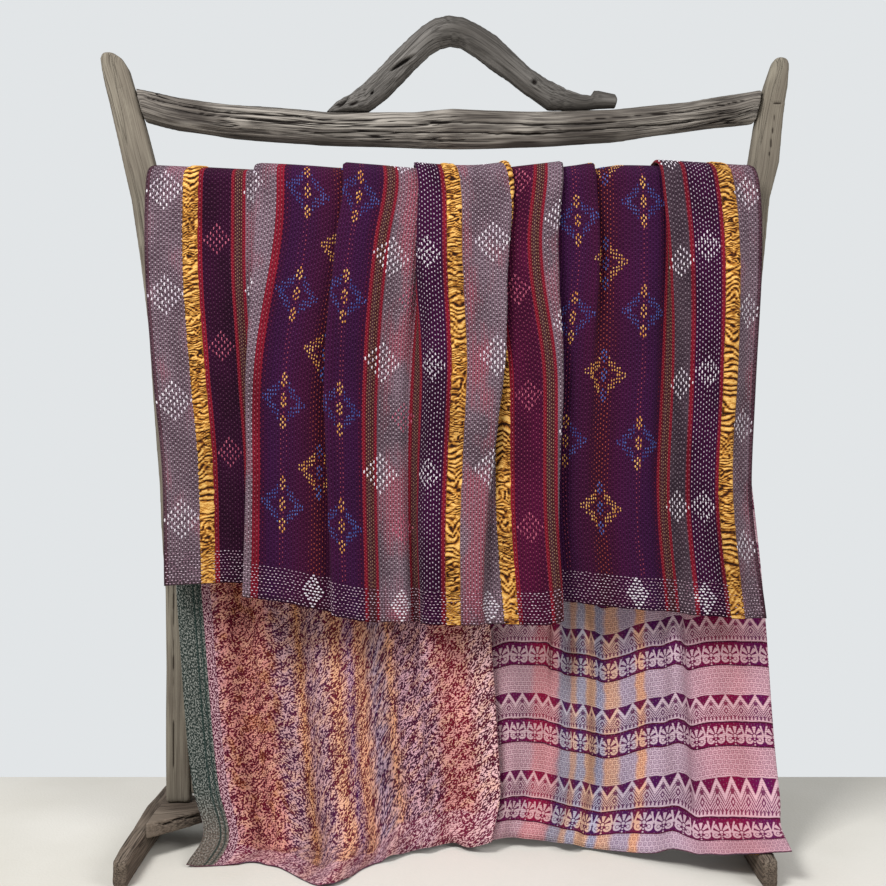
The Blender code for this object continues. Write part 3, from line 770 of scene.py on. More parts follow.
@dataclass
class Net:
    """Builds nodes in one material or node group."""

    tree: NodeTree

    def node(self, kind: str, **settings: object) -> Node:
        """A new node with its settings.

        Args:
            kind: Type of the node.
            settings: Its properties.

        Returns:
            The node.
        """
        made = self.tree.nodes.new(kind)
        for name, value in settings.items():
            setattr(made, name, value)
        return made

    def put(self, socket: NodeSocket, value: object) -> None:
        """Links a socket to a signal, or sets a number, a vector or a colour's hex text on it.

        Args:
            socket: The input.
            value: A signal, number, vector or colour.
        """
        if isinstance(value, Signal):
            self.tree.links.new(value.socket, socket)
        elif isinstance(value, str):
            socket.default_value = (*from_hex(value), 1.0)
        else:
            socket.default_value = value

    def made_by(self, kind: str, inputs: dict, output: int | str, **settings: object) -> Signal:
        """The output of a new node.

        Args:
            kind: Type of the node.
            inputs: Values by the number or name of their socket.
            output: Number or name of the wanted socket.
            settings: The node's other settings.

        Returns:
            The signal of that socket.
        """
        made = self.node(kind, **settings)
        for key, value in inputs.items():
            self.put(made.inputs[key], value)
        return Signal(self, made.outputs[output])

    def math(self, operation: str, *values: "Signal | float", clamp: bool = False) -> Signal:
        """The result of a Math node."""
        inputs = dict(enumerate(values))
        return self.made_by("ShaderNodeMath", inputs, 0, operation=operation, use_clamp=clamp)

    def most(self, first: Signal, *others: Signal) -> Signal:
        """The largest of several signals.

        Args:
            first: The first signal.
            others: The others.

        Returns:
            The largest.
        """
        for other in others:
            first = self.math("MAXIMUM", first, other)
        return first

    def smooth(self, value: Signal, low: float, high: float) -> Signal:
        """A soft step from 0 at low to 1 at high."""
        inputs = {"Value": value, "From Min": low, "From Max": high}
        return self.made_by("ShaderNodeMapRange", inputs, 0, interpolation_type="SMOOTHSTEP")

    def span(self, value: Signal, start: float, stop: float, soft: float) -> Signal:
        """One between start and stop, zero elsewhere, with soft ends."""
        rise = self.smooth(value, start - soft, start + soft)
        return rise * self.smooth(value, stop + soft, stop - soft)

    def mix(self, part: "Signal | float", first: object, second: object, blend: str = "MIX") -> Signal:
        """A mix of two colours."""
        inputs = {"Factor": part, 6: first, 7: second}
        return self.made_by("ShaderNodeMix", inputs, 2, data_type="RGBA", blend_type=blend)

    def shaded(self, colour: Signal, shade: Signal) -> Signal:
        """A colour times one shade."""
        return self.mix(1.0, colour, self.combine(shade, shade, shade), "MULTIPLY")

    def ramp(self, value: Signal, stops: Sequence[tuple[float, str]]) -> Signal:
        """A colour ramp.

        Args:
            value: Where to read the ramp, from 0 to 1.
            stops: Place and colour of each stop.

        Returns:
            The colour.
        """
        made = self.node("ShaderNodeValToRGB")
        self.put(made.inputs[0], value)
        elements = made.color_ramp.elements
        while len(elements) < len(stops):
            elements.new(0.5)
        for element, (place, colour) in zip(elements, stops):
            element.position = place
            element.color = (*from_hex(colour), 1.0)
        return Signal(self, made.outputs[0])

    def noise(self, vector: Signal, scale: float, detail: float = 2.0) -> Signal:
        """Noise, about 0.5 in the middle."""
        inputs = {"Vector": vector, "Scale": scale, "Detail": detail}
        return self.made_by("ShaderNodeTexNoise", inputs, "Fac")

    def patches(self, vector: Signal, by: Vector3, detail: float) -> Signal:
        """Noise on a vector stretched by one factor an axis."""
        return self.noise(self.scaled(vector, by), 1.0, detail)

    def random(self, x: "Signal | float", y: "Signal | float") -> Signal:
        """A random value for a cell."""
        inputs = {"Vector": self.combine(x, y, 0.0)}
        return self.made_by("ShaderNodeTexWhiteNoise", inputs, "Value", noise_dimensions="2D")

    def combine(self, *parts: "Signal | float") -> Signal:
        """A vector from its three parts."""
        return self.made_by("ShaderNodeCombineXYZ", dict(enumerate(parts)), 0)

    def split(self, vector: Signal) -> tuple[Signal, Signal, Signal]:
        """The parts of a vector.

        Args:
            vector: The vector.

        Returns:
            Its three parts.
        """
        made = self.node("ShaderNodeSeparateXYZ")
        self.put(made.inputs[0], vector)
        x, y, z = (Signal(self, socket) for socket in made.outputs)
        return x, y, z

    def scaled(self, vector: Signal, by: Vector3) -> Signal:
        """A vector stretched by one factor an axis."""
        return self.made_by("ShaderNodeVectorMath", {0: vector, 1: by}, 0, operation="MULTIPLY")

    def here(self) -> Signal:
        """Place in the object's own coordinates."""
        return self.made_by("ShaderNodeTexCoord", {}, "Object")

    def attribute(self, name: str, output: str = "Fac") -> Signal:
        """A value kept on the mesh."""
        return self.made_by("ShaderNodeAttribute", {}, output, attribute_name=name)

    def map(self, name: str) -> Signal:
        """One of the cloth's own maps."""
        return self.made_by("ShaderNodeUVMap", {}, 0, uv_map=name)

    def group(self, tree: NodeTree, **values: object) -> dict[str, Signal]:
        """A shared effect's outputs, its inputs set by their names (spaces as underscores).

        Args:
            tree: The effect.
            values: Values by the inputs' names.

        Returns:
            Its outputs by name.
        """
        made = self.node("ShaderNodeGroup", node_tree=tree)
        for name, value in values.items():
            self.put(made.inputs[name.replace("_", " ")], value)
        return self.outputs(made)

    def outputs(self, node: Node) -> dict[str, Signal]:
        """All outputs of a node by their names."""
        return {socket.name: Signal(self, socket) for socket in node.outputs}


def start_group(name: str, **inputs: float) -> tuple[Net, dict[str, Signal]]:
    """A new shader node group with a vector input and some number inputs.

    Args:
        name: Name of the group.
        inputs: Defaults by the inputs' names (spaces as underscores).

    Returns:
        The net of the group and its inputs.
    """
    tree = bpy.data.node_groups.new(name, "ShaderNodeTree")
    tree.interface.new_socket("Vector", in_out="INPUT", socket_type="NodeSocketVector")
    for label, default in inputs.items():
        label = label.replace("_", " ")
        socket = tree.interface.new_socket(label, in_out="INPUT", socket_type="NodeSocketFloat")
        socket.default_value = default
    net = Net(tree)
    return net, net.outputs(net.node("NodeGroupInput"))


def end_group(net: Net, **signals: Signal) -> NodeTree:
    """Makes these signals the outputs of a group.

    Args:
        net: Net of the group.
        signals: Signals by the outputs' names.

    Returns:
        The group.
    """
    for label in signals:
        net.tree.interface.new_socket(label, in_out="OUTPUT", socket_type="NodeSocketFloat")
    target = net.node("NodeGroupOutput").inputs
    for label, signal in signals.items():
        net.put(target[label], signal)
    return net.tree


@dataclass
class Effects:
    """Node groups shared by the finishes."""

    stitches: NodeTree = field(init=False)
    crepe: NodeTree = field(init=False)
    weave: NodeTree = field(init=False)
    timber: NodeTree = field(init=False)

    def __post_init__(self) -> None:
        """Builds every group."""
        self.stitches = self.running_stitches()
        self.crepe = self.crepe_ripples()
        self.weave = self.soft_weave()
        self.timber = self.weathered_grain()

    @staticmethod
    def running_stitches() -> NodeTree:
        """Columns of running stitches, each column half a stitch off its neighbours.

        Returns:
            The group.
        """
        net, source = start_group(
            "running_stitches", Pitch_Across=0.0057, Pitch_Along=0.009, Width=0.002, Length=0.0036,
            Sway=0.0016
        )
        u, v, _ = net.split(source["Vector"])
        u = (net.patches(source["Vector"], (30.0, 12.0, 1.0), 1.0) - 0.5) * source["Sway"] + u
        across = u / source["Pitch Across"]
        column = net.math("FLOOR", across)
        along = v / source["Pitch Along"] + column % 2.0 * 0.5 + net.random(column, 3.0) * 0.3
        chance = net.random(column, net.math("FLOOR", along))
        off_u = across.fract() - 0.5
        off_v = (chance - 0.5) * 0.25 + (along.fract() - 0.5)
        far_u = off_u * source["Pitch Across"]
        far_v = off_v * source["Pitch Along"]
        ratio_u = far_u / source["Width"]
        ratio_v = far_v / source["Length"]
        reach = (ratio_v * ratio_v + ratio_u * ratio_u) * 4.0
        mask = net.smooth(reach, 1.25, 0.55)
        # Gap is the mask for painted shade in the puckered dips between the stitches of a column.
        gap = net.smooth(abs(ratio_u), 0.95, 0.35) * (1.0 - mask)
        height = net.math("SUBTRACT", 1.0, reach, clamp=True)
        dimple = net.smooth(abs(off_u), 0.5, 0.1)
        return end_group(net, Mask=mask, Gap=gap, Height=height, Random=chance, Dimple=dimple)

    @staticmethod
    def crepe_ripples() -> NodeTree:
        """Fine crosswise ripples of cotton drawn up by stitching.

        Returns:
            The group.
        """
        net, source = start_group("crepe_ripples", Pitch=0.0037, Waver=1.2)
        _, v, _ = net.split(source["Vector"])
        slow = net.patches(source["Vector"], (60.0, 45.0, 1.0), 2.0)
        wave = ((slow * source["Waver"] + v / source["Pitch"]) * math.tau).sine()
        broken = net.patches(source["Vector"], (120.0, 260.0, 1.0), 2.0)
        return end_group(net, Height=wave * 0.3 + broken * 0.8)

    @staticmethod
    def soft_weave() -> NodeTree:
        """Threads, fading and rubbed places of worn cotton.

        Returns:
            The group.
        """
        net, source = start_group("soft_weave", Thread=0.0011)
        u, v, _ = net.split(source["Vector"])
        turns_u = u / source["Thread"] * math.tau
        turns_v = v / source["Thread"] * math.tau
        fade = net.smooth(net.patches(source["Vector"], (14.0, 7.0, 1.0), 4.0), 0.32, 0.68)
        fleck = net.patches(source["Vector"], (420.0, 420.0, 1.0), 2.0)
        return end_group(net, Height=turns_u.sine() * turns_v.sine(), Fade=fade, Fleck=fleck)

    @staticmethod
    def weathered_grain() -> NodeTree:
        """Grain, dark checks and pale rubbed patches of weathered wood.

        Returns:
            The group.
        """
        net, source = start_group("weathered_grain")
        bend = net.patches(source["Vector"], (7.0, 7.0, 2.2), 2.0)
        bent = net.node("ShaderNodeVectorMath", operation="MULTIPLY_ADD")
        net.put(bent.inputs[0], net.combine(bend, bend, 0.0))
        bent.inputs[1].default_value = (0.02, 0.02, 0.0)
        net.put(bent.inputs[2], source["Vector"])
        path = Signal(net, bent.outputs[0])
        line = net.patches(path, (420.0, 420.0, 9.0), 3.0)
        check = net.patches(path, (95.0, 95.0, 3.2), 2.0)
        patch = net.patches(source["Vector"], (11.0, 11.0, 5.0), 4.0)
        dark = net.smooth(abs(check - 0.5), 0.022, 0.004)
        dark = dark * net.smooth(net.patches(source["Vector"], (16.0, 16.0, 4.0), 2.0), 0.47, 0.58)
        height = line * 0.6 + dark * -1.5
        line, patch = net.smooth(line, 0.3, 0.7), net.smooth(patch, 0.35, 0.68)
        return end_group(net, Line=line, Check=dark, Patch=patch, Height=height)


# ---------------- finishes


class Surface(NamedTuple):
    """Colour, height and depth of relief of a surface, and its roughness where it varies."""

    colour: Signal
    height: Signal
    relief: float
    roughness: Signal | None = None


@dataclass(frozen=True)
class Finish:
    """A material; the kinds below say what its surface is."""

    name: str
    roughness: float = 0.85
    sheen: float = 0.02

    def surface(self, net: Net, effects: Effects) -> Surface:
        """The surface; each kind has its own."""
        raise NotImplementedError

    def make(self, effects: Effects) -> Material:
        """A new material with one Principled shader.

        Args:
            effects: The shared effects.

        Returns:
            The material.
        """
        made = bpy.data.materials.new(self.name)
        made.use_nodes = True
        made.node_tree.nodes.clear()
        net = Net(made.node_tree)
        surface = self.surface(net, effects)
        bump = net.node("ShaderNodeBump")
        bump.inputs["Distance"].default_value = surface.relief
        net.put(bump.inputs["Height"], surface.height)
        inputs = {
            "Base Color": surface.colour, "Roughness": surface.roughness or self.roughness,
            "Sheen Weight": self.sheen, "Sheen Roughness": 0.5, "Specular IOR Level": 0.08,
            "Normal": Signal(net, bump.outputs[0])
        }
        shader = net.made_by("ShaderNodeBsdfPrincipled", inputs, 0)
        output = net.node("ShaderNodeOutputMaterial")
        net.put(output.inputs["Surface"], shader)
        return made


@dataclass(frozen=True)
class GroundFinish(Finish):
    """Stitched cotton ground of one stripe."""

    ground: Colour = "5a3a4a"
    shadow: Colour = "3a2430"
    bleed: Colour = "b05a6c"
    bleed_part: float = 0.0
    thread: Colour = "cabcca"
    thread_part: float = 0.8
    pitch: tuple[float, float] = (0.0057, 0.009)
    stitch: tuple[float, float] = (0.0021, 0.0038)
    # ripple sets the strength of the ripples' relief and of their painted shade.
    ripple: float = 0.5
    # gap sets how dark the painted shade between the stitches of a column is.
    gap: float = 0.5
    relief: float = 0.0022

    def sewn_colour(self, net: Net) -> Signal | Colour:
        """Colour of the thread."""
        return self.thread

    def colour(self, net: Net, flat: Signal, weave: dict) -> Signal:
        """Colour of the cloth under the stitches.

        Args:
            net: Net of the material.
            flat: Place on the flat cloth.
            weave: Outputs of the weave.

        Returns:
            The colour.
        """
        base = net.mix(weave["Fade"], self.shadow, self.ground)
        if self.bleed_part > 0:
            stain = net.patches(flat, (22.0, 6.0, 1.0), 3.0)
            part = net.smooth(stain, 0.42, 0.66) * self.bleed_part
            base = net.mix(part, base, self.bleed)
        return base

    def surface(self, net: Net, effects: Effects) -> Surface:
        """The surface.

        Args:
            net: Net of the material.
            effects: The shared effects.

        Returns:
            The surface.
        """
        flat = net.map(SHEET_MAP)
        weave = net.group(effects.weave, Vector=flat)
        crepe = net.group(effects.crepe, Vector=flat)
        sewn = net.group(
            effects.stitches, Vector=flat, Pitch_Across=self.pitch[0], Pitch_Along=self.pitch[1],
            Width=self.stitch[0], Length=self.stitch[1]
        )
        base = self.colour(net, flat, weave)
        # Painted shade in the valleys of the crepe ripples, with a little painted light on their crests.
        painted_crest_light = net.smooth(crepe["Height"], 0.15, 0.75)
        shade = painted_crest_light * (0.45 * self.ripple) + (1.0 - 0.35 * self.ripple)
        base = net.shaded(base, shade)
        base = net.shaded(base, weave["Fleck"] * 0.5 + 0.75)
        seen = (sewn["Random"] * 0.35 + 0.65) * self.thread_part
        part = sewn["Mask"] * (seen * net.smooth(net.split(flat)[1], 0.06, 0.066))
        # Painted shade in the puckered gaps between stitches, then the thread colour on the stitches.
        base = net.mix(part, net.shaded(base, sewn["Gap"] * -self.gap + 1.0), self.sewn_colour(net))
        height = sewn["Height"] * 0.7 + (crepe["Height"] * self.ripple + sewn["Dimple"] * 0.25)
        return Surface(base, weave["Height"] * 0.06 + height, self.relief)


@dataclass(frozen=True)
class WideFinish(GroundFinish):
    """A wide stripe whose ground and thread change between its columns of motifs."""

    grounds: tuple[tuple[float, Colour], ...] = ()
    threads: tuple[tuple[float, Colour], ...] = ()

    def local(self, net: Net) -> Signal:
        """Place across the stripe, from 0 to 1, with a slightly uneven hand."""
        local, v, _ = net.split(net.map(STRIPE_MAP))
        return (net.noise(net.combine(local * 4.0, v, 0.0), 9.0, 2.0) - 0.5) * 0.1 + local

    def colour(self, net: Net, flat: Signal, weave: dict) -> Signal:
        """Colour of the cloth under the stitches."""
        tint = net.ramp(self.local(net), self.grounds)
        return net.mix(weave["Fade"], net.mix(0.3, tint, self.shadow), tint)

    def sewn_colour(self, net: Net) -> Signal | Colour:
        """Colour of the thread."""
        return net.ramp(self.local(net), self.threads)


@dataclass(frozen=True)
class MauveFinish(GroundFinish):
    """Mauve ground with pink that has bled in from its neighbours."""

    stained: tuple[tuple[float, float], ...] = ()

    def colour(self, net: Net, flat: Signal, weave: dict) -> Signal:
        """Colour of the cloth under the stitches.

        Args:
            net: Net of the material.
            flat: Place on the flat cloth.
            weave: Outputs of the weave.

        Returns:
            The colour.
        """
        base = net.mix(weave["Fade"], self.shadow, self.ground)
        stain = net.patches(flat, (16.0, 7.0, 1.0), 4.0)
        part = net.smooth(stain, 0.5, 0.68) * self.bleed_part
        u = net.split(flat)[0]
        for start, stop in self.stained:
            near = net.span(u, start, stop, 0.012)
            strong = net.smooth(stain, 0.4, 0.58) * near
            part = net.most(part, strong * 0.75)
        return net.mix(part, base, self.bleed)


@dataclass(frozen=True)
class PinFinish(GroundFinish):
    """A narrow stripe: red edges with pink dashes, and light dots on a dark middle."""

    line: Colour = "861428"
    line_thread: Colour = "cc6070"
    grounds: tuple[tuple[float, Colour], ...] = ()

    def ends(self, net: Net) -> Signal:
        """One on the two red edges."""
        local = net.split(net.map(STRIPE_MAP))[0]
        return net.span(local, -0.3, 0.2, 0.02) + net.span(local, 0.8, 1.3, 0.02)

    def colour(self, net: Net, flat: Signal, weave: dict) -> Signal:
        """Colour of the woven lines."""
        local = net.split(net.map(STRIPE_MAP))[0]
        return net.mix(self.ends(net), net.ramp(local, self.grounds), self.line)

    def sewn_colour(self, net: Net) -> Signal | Colour:
        """Colour of the thread."""
        return net.mix(self.ends(net), self.thread, self.line_thread)


@dataclass(frozen=True)
class SpeckleFinish(Finish):
    """Closely woven squiggles, light on dark, in lengthwise bands of colour."""

    bands: tuple[tuple[float, Colour, Colour], ...] = ()
    reach: float = 0.75
    soft: float = 0.012
    hem_light: Colour = "e8bcc4"
    hem_dark: Colour = "7a2c48"
    hem_from: float = 2.138

    def tints(self, net: Net, u: Signal, which: int) -> Signal:
        """Colours that change across the cloth, the light ones or the dark ones.

        Args:
            net: Net of the material.
            u: Place across the cloth.
            which: 1 for the light ones, 2 for the dark.

        Returns:
            The colour.
        """
        stops = [(0.0, self.bands[0][which])]
        for before, after in zip(self.bands, self.bands[1:]):
            stops.append(((after[0] - self.soft) / self.reach, before[which]))
            stops.append(((after[0] + self.soft) / self.reach, after[which]))
        return net.ramp(u / self.reach, stops)

    def surface(self, net: Net, effects: Effects) -> Surface:
        """The surface.

        Args:
            net: Net of the material.
            effects: The shared effects.

        Returns:
            The surface.
        """
        flat = net.map(SHEET_MAP)
        u, v, _ = net.split(flat)
        weave = net.group(effects.weave, Vector=flat)
        sewn = net.group(effects.stitches, Vector=flat, Width=0.0016, Length=0.003)
        crepe = net.group(effects.crepe, Vector=flat)
        rising, falling = u - v, u + v
        squiggle = net.noise(net.combine(rising * 135.0, falling * 232.0, 0.0), 1.0, 1.5)
        patch = net.combine(rising * 26.0, falling * 62.0, 7.0)
        part = net.smooth((net.noise(patch, 1.0, 2.0) - 0.5) * 0.5 + squiggle, 0.496, 0.52)
        bent = (net.patches(flat, (75.0, 30.0, 1.0), 3.0) - 0.5) * 0.034 + u
        light, dark = self.tints(net, bent, 1), self.tints(net, bent, 2)
        warm = net.smooth(net.patches(patch, (0.8, 0.8, 1.0), 2.0), 0.46, 0.6)
        light = net.mix(warm * 0.45, light, "e4b08c")
        dark = net.mix(warm * 0.3, dark, "8c2430")
        light = net.mix(0.1, light, "ffd8cc")
        dark = net.mix(0.36, dark, "2c0416")
        blot = net.smooth(net.patches(flat, (30.0, 22.0, 1.0), 2.0), 0.54, 0.64)
        blot = blot * net.span(u, 0.075, 0.2, 0.01)
        light = net.mix(blot * 0.6, light, "c4845c")
        dark = net.mix(blot * 0.6, dark, "6a2c14")
        hem = net.smooth(v, self.hem_from - 0.004, self.hem_from + 0.004) * 0.6
        light, dark = net.mix(hem, light, self.hem_light), net.mix(hem, dark, self.hem_dark)
        base = net.shaded(net.mix(part, dark, light), weave["Fade"] * 0.22 + 0.86)
        base = net.mix(sewn["Mask"] * 0.12, base, "e8c8c8")
        return Surface(base, part * 0.3 + (sewn["Height"] * 0.5 + crepe["Height"]), 0.0012)


@dataclass(frozen=True)
class BorderFinish(Finish):
    """Green-grey edge of the inner face with lengthwise lines and strokes."""

    dark: Colour = "28322f"
    light: Colour = "8f928c"
    line: Colour = "17302d"

    def surface(self, net: Net, effects: Effects) -> Surface:
        """The surface.

        Args:
            net: Net of the material.
            effects: The shared effects.

        Returns:
            The surface.
        """
        flat = net.map(SHEET_MAP)
        u, v, _ = net.split(flat)
        weave = net.group(effects.weave, Vector=flat)
        sewn = net.group(
            effects.stitches, Vector=flat, Pitch_Across=0.0052, Pitch_Along=0.0085, Width=0.0024,
            Length=0.0046
        )
        strokes = net.patches(flat, (430.0, 260.0, 1.0), 1.0)
        base = net.mix(net.smooth(strokes, 0.49, 0.56), self.dark, self.light)
        brown = net.mix(net.smooth(v, 2.02, 2.16) * 0.5, base, "8a7468")
        lines = net.span(u, 0.031, 0.0345, 0.0006) + net.span(u, 0.041, 0.0435, 0.0006)
        # Painted shade in the puckered gaps between stitches.
        base = net.mix(sewn["Gap"] * 0.5, net.mix(lines * 0.8, brown, self.line), self.dark)
        pick = net.mix(net.smooth(strokes, 0.49, 0.54), "521430", "d0a8b0")
        base = net.mix(net.span(u, 0.049, 0.07, 0.0006), base, pick)
        return Surface(base, weave["Height"] * 0.1 + sewn["Height"], 0.0012)


@dataclass(frozen=True)
class BandsFinish(Finish):
    """Printed crosswise bands: toothed edge, scroll band and small meander, tinted in stripes."""

    tints: tuple[tuple[float, Colour], ...] = ()
    deeps: tuple[tuple[float, Colour], ...] = ()
    start_u: float = PRINT_START
    stop_u: float = CLOTH_WIDTH
    dark: Colour = "4c0c2c"
    tooth: float = 0.029
    palmette: float = 0.0375
    key: float = 0.0084
    repeat: float = 0.146
    teeth_top: float = 0.345
    scroll_top: float = 0.65

    @staticmethod
    def distance(net: Net, u: Signal, v: Signal) -> Signal:
        """Length of a flat offset."""
        return net.math("SQRT", u * u + v * v)

    def teeth(self, net: Net, u: Signal, t: Signal) -> tuple:
        """Inverted triangles, the pale edges of the arches and the marks inside these.

        Args:
            net: Net of the material.
            u: Place across the cloth.
            t: Place in the band, from 0 at its foot to 1.

        Returns:
            Masks of the three.
        """
        side = abs((u / self.tooth).fract() - 0.5) * 2.0
        down = (t - 0.012) / 0.14
        inside = side + down
        band = net.smooth(down, -0.02, 0.02)
        fill = net.smooth(inside, 1.02, 0.9) * band
        edge = net.span(inside, 1.04, 1.3, 0.05) * band
        away = (1.0 - side) * (self.tooth / 2)
        dot = net.smooth(self.distance(net, away, (t - 0.125) * self.repeat), 0.0042, 0.0028)
        ribs = net.smooth(((inside + t * 0.6) * 3.4 * math.tau).sine(), -0.1, 0.3)
        ribs = ribs * net.span(t, 0.06, 0.3, 0.01) * net.smooth(inside, 1.36, 1.46)
        leaf = abs(t - 0.21) / 0.05 + away / 0.0052
        ribs = ribs * net.smooth(leaf, 1.1, 1.35)
        core = net.smooth(leaf, 1.05, 0.85) * net.smooth(leaf, 0.3, 0.5)
        petals = net.smooth((u * (math.tau / (self.tooth / 4))).sine(), 0.0, 0.4)
        marks = net.most(dot, ribs, core, petals * net.span(t, 0.275, 0.325, 0.006))
        return fill, edge, marks

    def scrolls(self, net: Net, u: Signal, t: Signal) -> Signal:
        """Pale palmettes with a scroll on each side, along a band.

        Args:
            net: Net of the material.
            u: Place across the cloth.
            t: Place in the band, from 0 at its foot to 1.

        Returns:
            The mask.
        """
        side = abs(((u / self.palmette).fract() - 0.5) * self.palmette)
        high = (0.505 - t) * self.repeat
        above = high + 0.002
        angle = net.math("ARCTAN2", side, above)
        reach = self.distance(net, side, above)
        petal = net.smooth(net.math("COSINE", angle * 8.0), -0.5, -0.05)
        petal = petal * net.span(reach, 0.005, 0.0168, 0.0006)
        petal = petal * net.smooth(angle, 1.75, 1.6)
        hub = net.smooth(reach, 0.0036, 0.0028)
        curl_u = side - 0.0098
        curl_v = high + 0.0085
        far = self.distance(net, curl_u, curl_v)
        ring = net.smooth(abs(far - 0.0058), 0.0024, 0.0016)
        ring = ring * net.smooth(abs(net.math("ARCTAN2", curl_v, curl_u * -1.0) - 0.2), 0.3, 0.6)
        eye = net.smooth(abs(far - 0.0012), 0.002, 0.0012)
        stem_u = self.palmette / 2 - side
        stem = net.smooth(abs(stem_u - (abs(high) * 0.28 + 0.0016)), 0.0021, 0.0014)
        stem = stem * net.span(high, -0.004, 0.0165, 0.0006)
        beads = self.distance(net, side, ((high / 0.0052).fract() - 0.5) * 0.0052)
        beads = net.smooth(beads, 0.002, 0.0013) * net.smooth(high, -0.006, -0.0068)
        return net.most(net.most(petal, hub, ring, eye), stem, beads)

    def meander(self, net: Net, u: Signal, t: Signal) -> Signal:
        """Small square meanders in rows.

        Args:
            net: Net of the material.
            u: Place across the cloth.
            t: Place in the band, from 0 at its foot to 1.

        Returns:
            The mask.
        """
        row = t * self.repeat / self.key
        fx = (u / self.key + net.math("FLOOR", row) % 2.0 * 0.5).fract() - 0.5
        fy = row.fract() - 0.5
        square = net.most(abs(fx), abs(fy))
        rings = net.span(square, 0.08, 0.22, 0.03) + net.span(square, 0.34, 0.5, 0.03)
        return abs(rings - net.span(fx, -0.02, 0.12, 0.03) * net.smooth(fy, -0.05, 0.02))

    def surface(self, net: Net, effects: Effects) -> Surface:
        """The surface.

        Args:
            net: Net of the material.
            effects: The shared effects.

        Returns:
            The surface.
        """
        flat = net.map(SHEET_MAP)
        weave = net.group(effects.weave, Vector=flat)
        sewn = net.group(effects.stitches, Vector=flat, Width=0.0016, Length=0.0032)
        crepe = net.group(effects.crepe, Vector=flat)
        u, rows, _ = net.split(net.map(PRINT_MAP))
        stray = net.patches(flat, (30.0, 30.0, 1.0), 1.0)
        t = ((stray - 0.5) * 0.03 + rows).fract()
        extent = self.stop_u - self.start_u
        across = (stray - 0.5) * 0.02 + (u - self.start_u) / extent
        tint = net.ramp(across, [((at - self.start_u) / extent, colour) for at, colour in self.tints])
        deep = net.ramp(across, [((at - self.start_u) / extent, colour) for at, colour in self.deeps])
        pale = net.mix(0.3, tint, "f4e0e0")
        ground = net.mix(self.meander(net, u, t), net.mix(0.7, tint, deep), net.mix(0.3, pale, tint))
        top = net.span(t, 0.0, self.teeth_top, 0.004)
        fill, edge, marks = self.teeth(net, u, t)
        arch = net.mix(marks, net.mix(0.1, pale, deep), net.mix(0.06, deep, pale))
        base = net.mix(top, ground, net.mix(fill, net.mix(edge, arch, pale), deep))
        scroll = net.mix(self.scrolls(net, u, t) * 0.92, deep, pale)
        base = net.mix(net.span(t, self.teeth_top, self.scroll_top, 0.004), base, scroll)
        line = net.span(t, 0.343, 0.362, 0.003) + net.span(t, 0.638, 0.655, 0.003)
        base = net.shaded(net.mix(line, base, self.dark), weave["Fade"] * 0.22 + 0.86)
        base = net.mix(sewn["Mask"] * 0.14, base, "e8d0d8")
        return Surface(base, sewn["Height"] * 0.5 + crepe["Height"], 0.0012)


@dataclass(frozen=True)
class RimFinish(Finish):
    """The turned edge all round."""

    ground: Colour = (0.1, 0.06, 0.09, 1.0)

    def surface(self, net: Net, effects: Effects) -> Surface:
        """The surface."""
        weave = net.group(effects.weave, Vector=net.map(SHEET_MAP))
        return Surface(net.mix(weave["Fade"], self.ground, "6a3a4a"), weave["Height"], 0.0003)


@dataclass(frozen=True)
class RibbonFinish(Finish):
    """Crushed gold ribbon, with painted shade in its creases and painted highlights on its crests."""

    # The light colour is a painted highlight on the crests; brown and the crease colour are painted shade
    # in the creases.
    gold: Colour = "c48636"
    light: Colour = "fac874"
    brown: Colour = "683612"
    crease_shade: Colour = "2c140a"

    def surface(self, net: Net, effects: Effects) -> Surface:
        """The surface.

        Args:
            net: Net of the material.
            effects: The shared effects.

        Returns:
            The surface.
        """
        flat = net.map(SHEET_MAP)
        crumple = net.attribute("crumple")
        weave = net.group(effects.weave, Vector=flat, Thread=0.0008)
        fine = net.patches(flat, (260.0, 420.0, 1.0), 2.0)
        level = (fine - 0.5) * 0.35 + crumple
        # Low crumple lies in the creases and gets painted shade; high crumple lies on the crests and gets a
        # painted highlight.
        stops = [
            (0.0, self.crease_shade), (0.5, self.crease_shade), (0.64, self.brown), (0.82, self.gold),
            (1.0, self.light)
        ]
        base = net.shaded(net.ramp(level, stops), weave["Fade"] * 0.25 + 0.8)
        return Surface(base, weave["Height"] * 0.12 + fine, 0.0007, fine * 0.3 + 0.42)


@dataclass(frozen=True)
class ThreadFinish(Finish):
    """Cotton sewing thread."""

    thread: Colour = "e8e4e8"
    dull: Colour = "cabcca"

    def surface(self, net: Net, effects: Effects) -> Surface:
        """The surface.

        Args:
            net: Net of the material.
            effects: Not used.

        Returns:
            The surface.
        """
        place = net.here()
        tone = net.patches(place, (90.0, 90.0, 90.0), 2.0)
        base = net.mix(net.smooth(tone, 0.35, 0.65), self.dull, self.thread)
        twist = (net.split(place)[2] * 6000.0).sine()
        return Surface(base, twist, 0.0002)


@dataclass(frozen=True)
class WoodFinish(Finish):
    """Grey weathered driftwood with dark checks and rubbed edges."""

    light: Colour = "8e8779"
    mid: Colour = "6f6961"
    dark: Colour = "4c4640"
    crack: Colour = "241f1b"
    checks: float = 1.0
    depth: float = 0.0016
    along: str = GRAIN

    def surface(self, net: Net, effects: Effects) -> Surface:
        """The surface.

        Args:
            net: Net of the material.
            effects: The shared effects.

        Returns:
            The surface.
        """
        if self.along:
            place = net.attribute(self.along, "Vector")
        else:
            turned = net.node("ShaderNodeMapping")
            turned.inputs["Rotation"].default_value = (0.0, math.pi / 2, 0.0)
            net.put(turned.inputs[0], net.here())
            place = Signal(net, turned.outputs[0])
        grain = net.group(effects.timber, Vector=place)
        base = net.mix(grain["Line"], self.dark, self.mid)
        base = net.mix(grain["Patch"] * grain["Line"], base, self.light)
        base = net.mix(net.smooth(net.attribute("worn"), 0.0, 1.0), base, self.light)
        sunk = net.attribute("sunk")
        split = net.most(grain["Check"] * self.checks, net.smooth(sunk, 0.15, 0.85))
        return Surface(net.mix(split, base, self.crack), grain["Height"], self.depth)


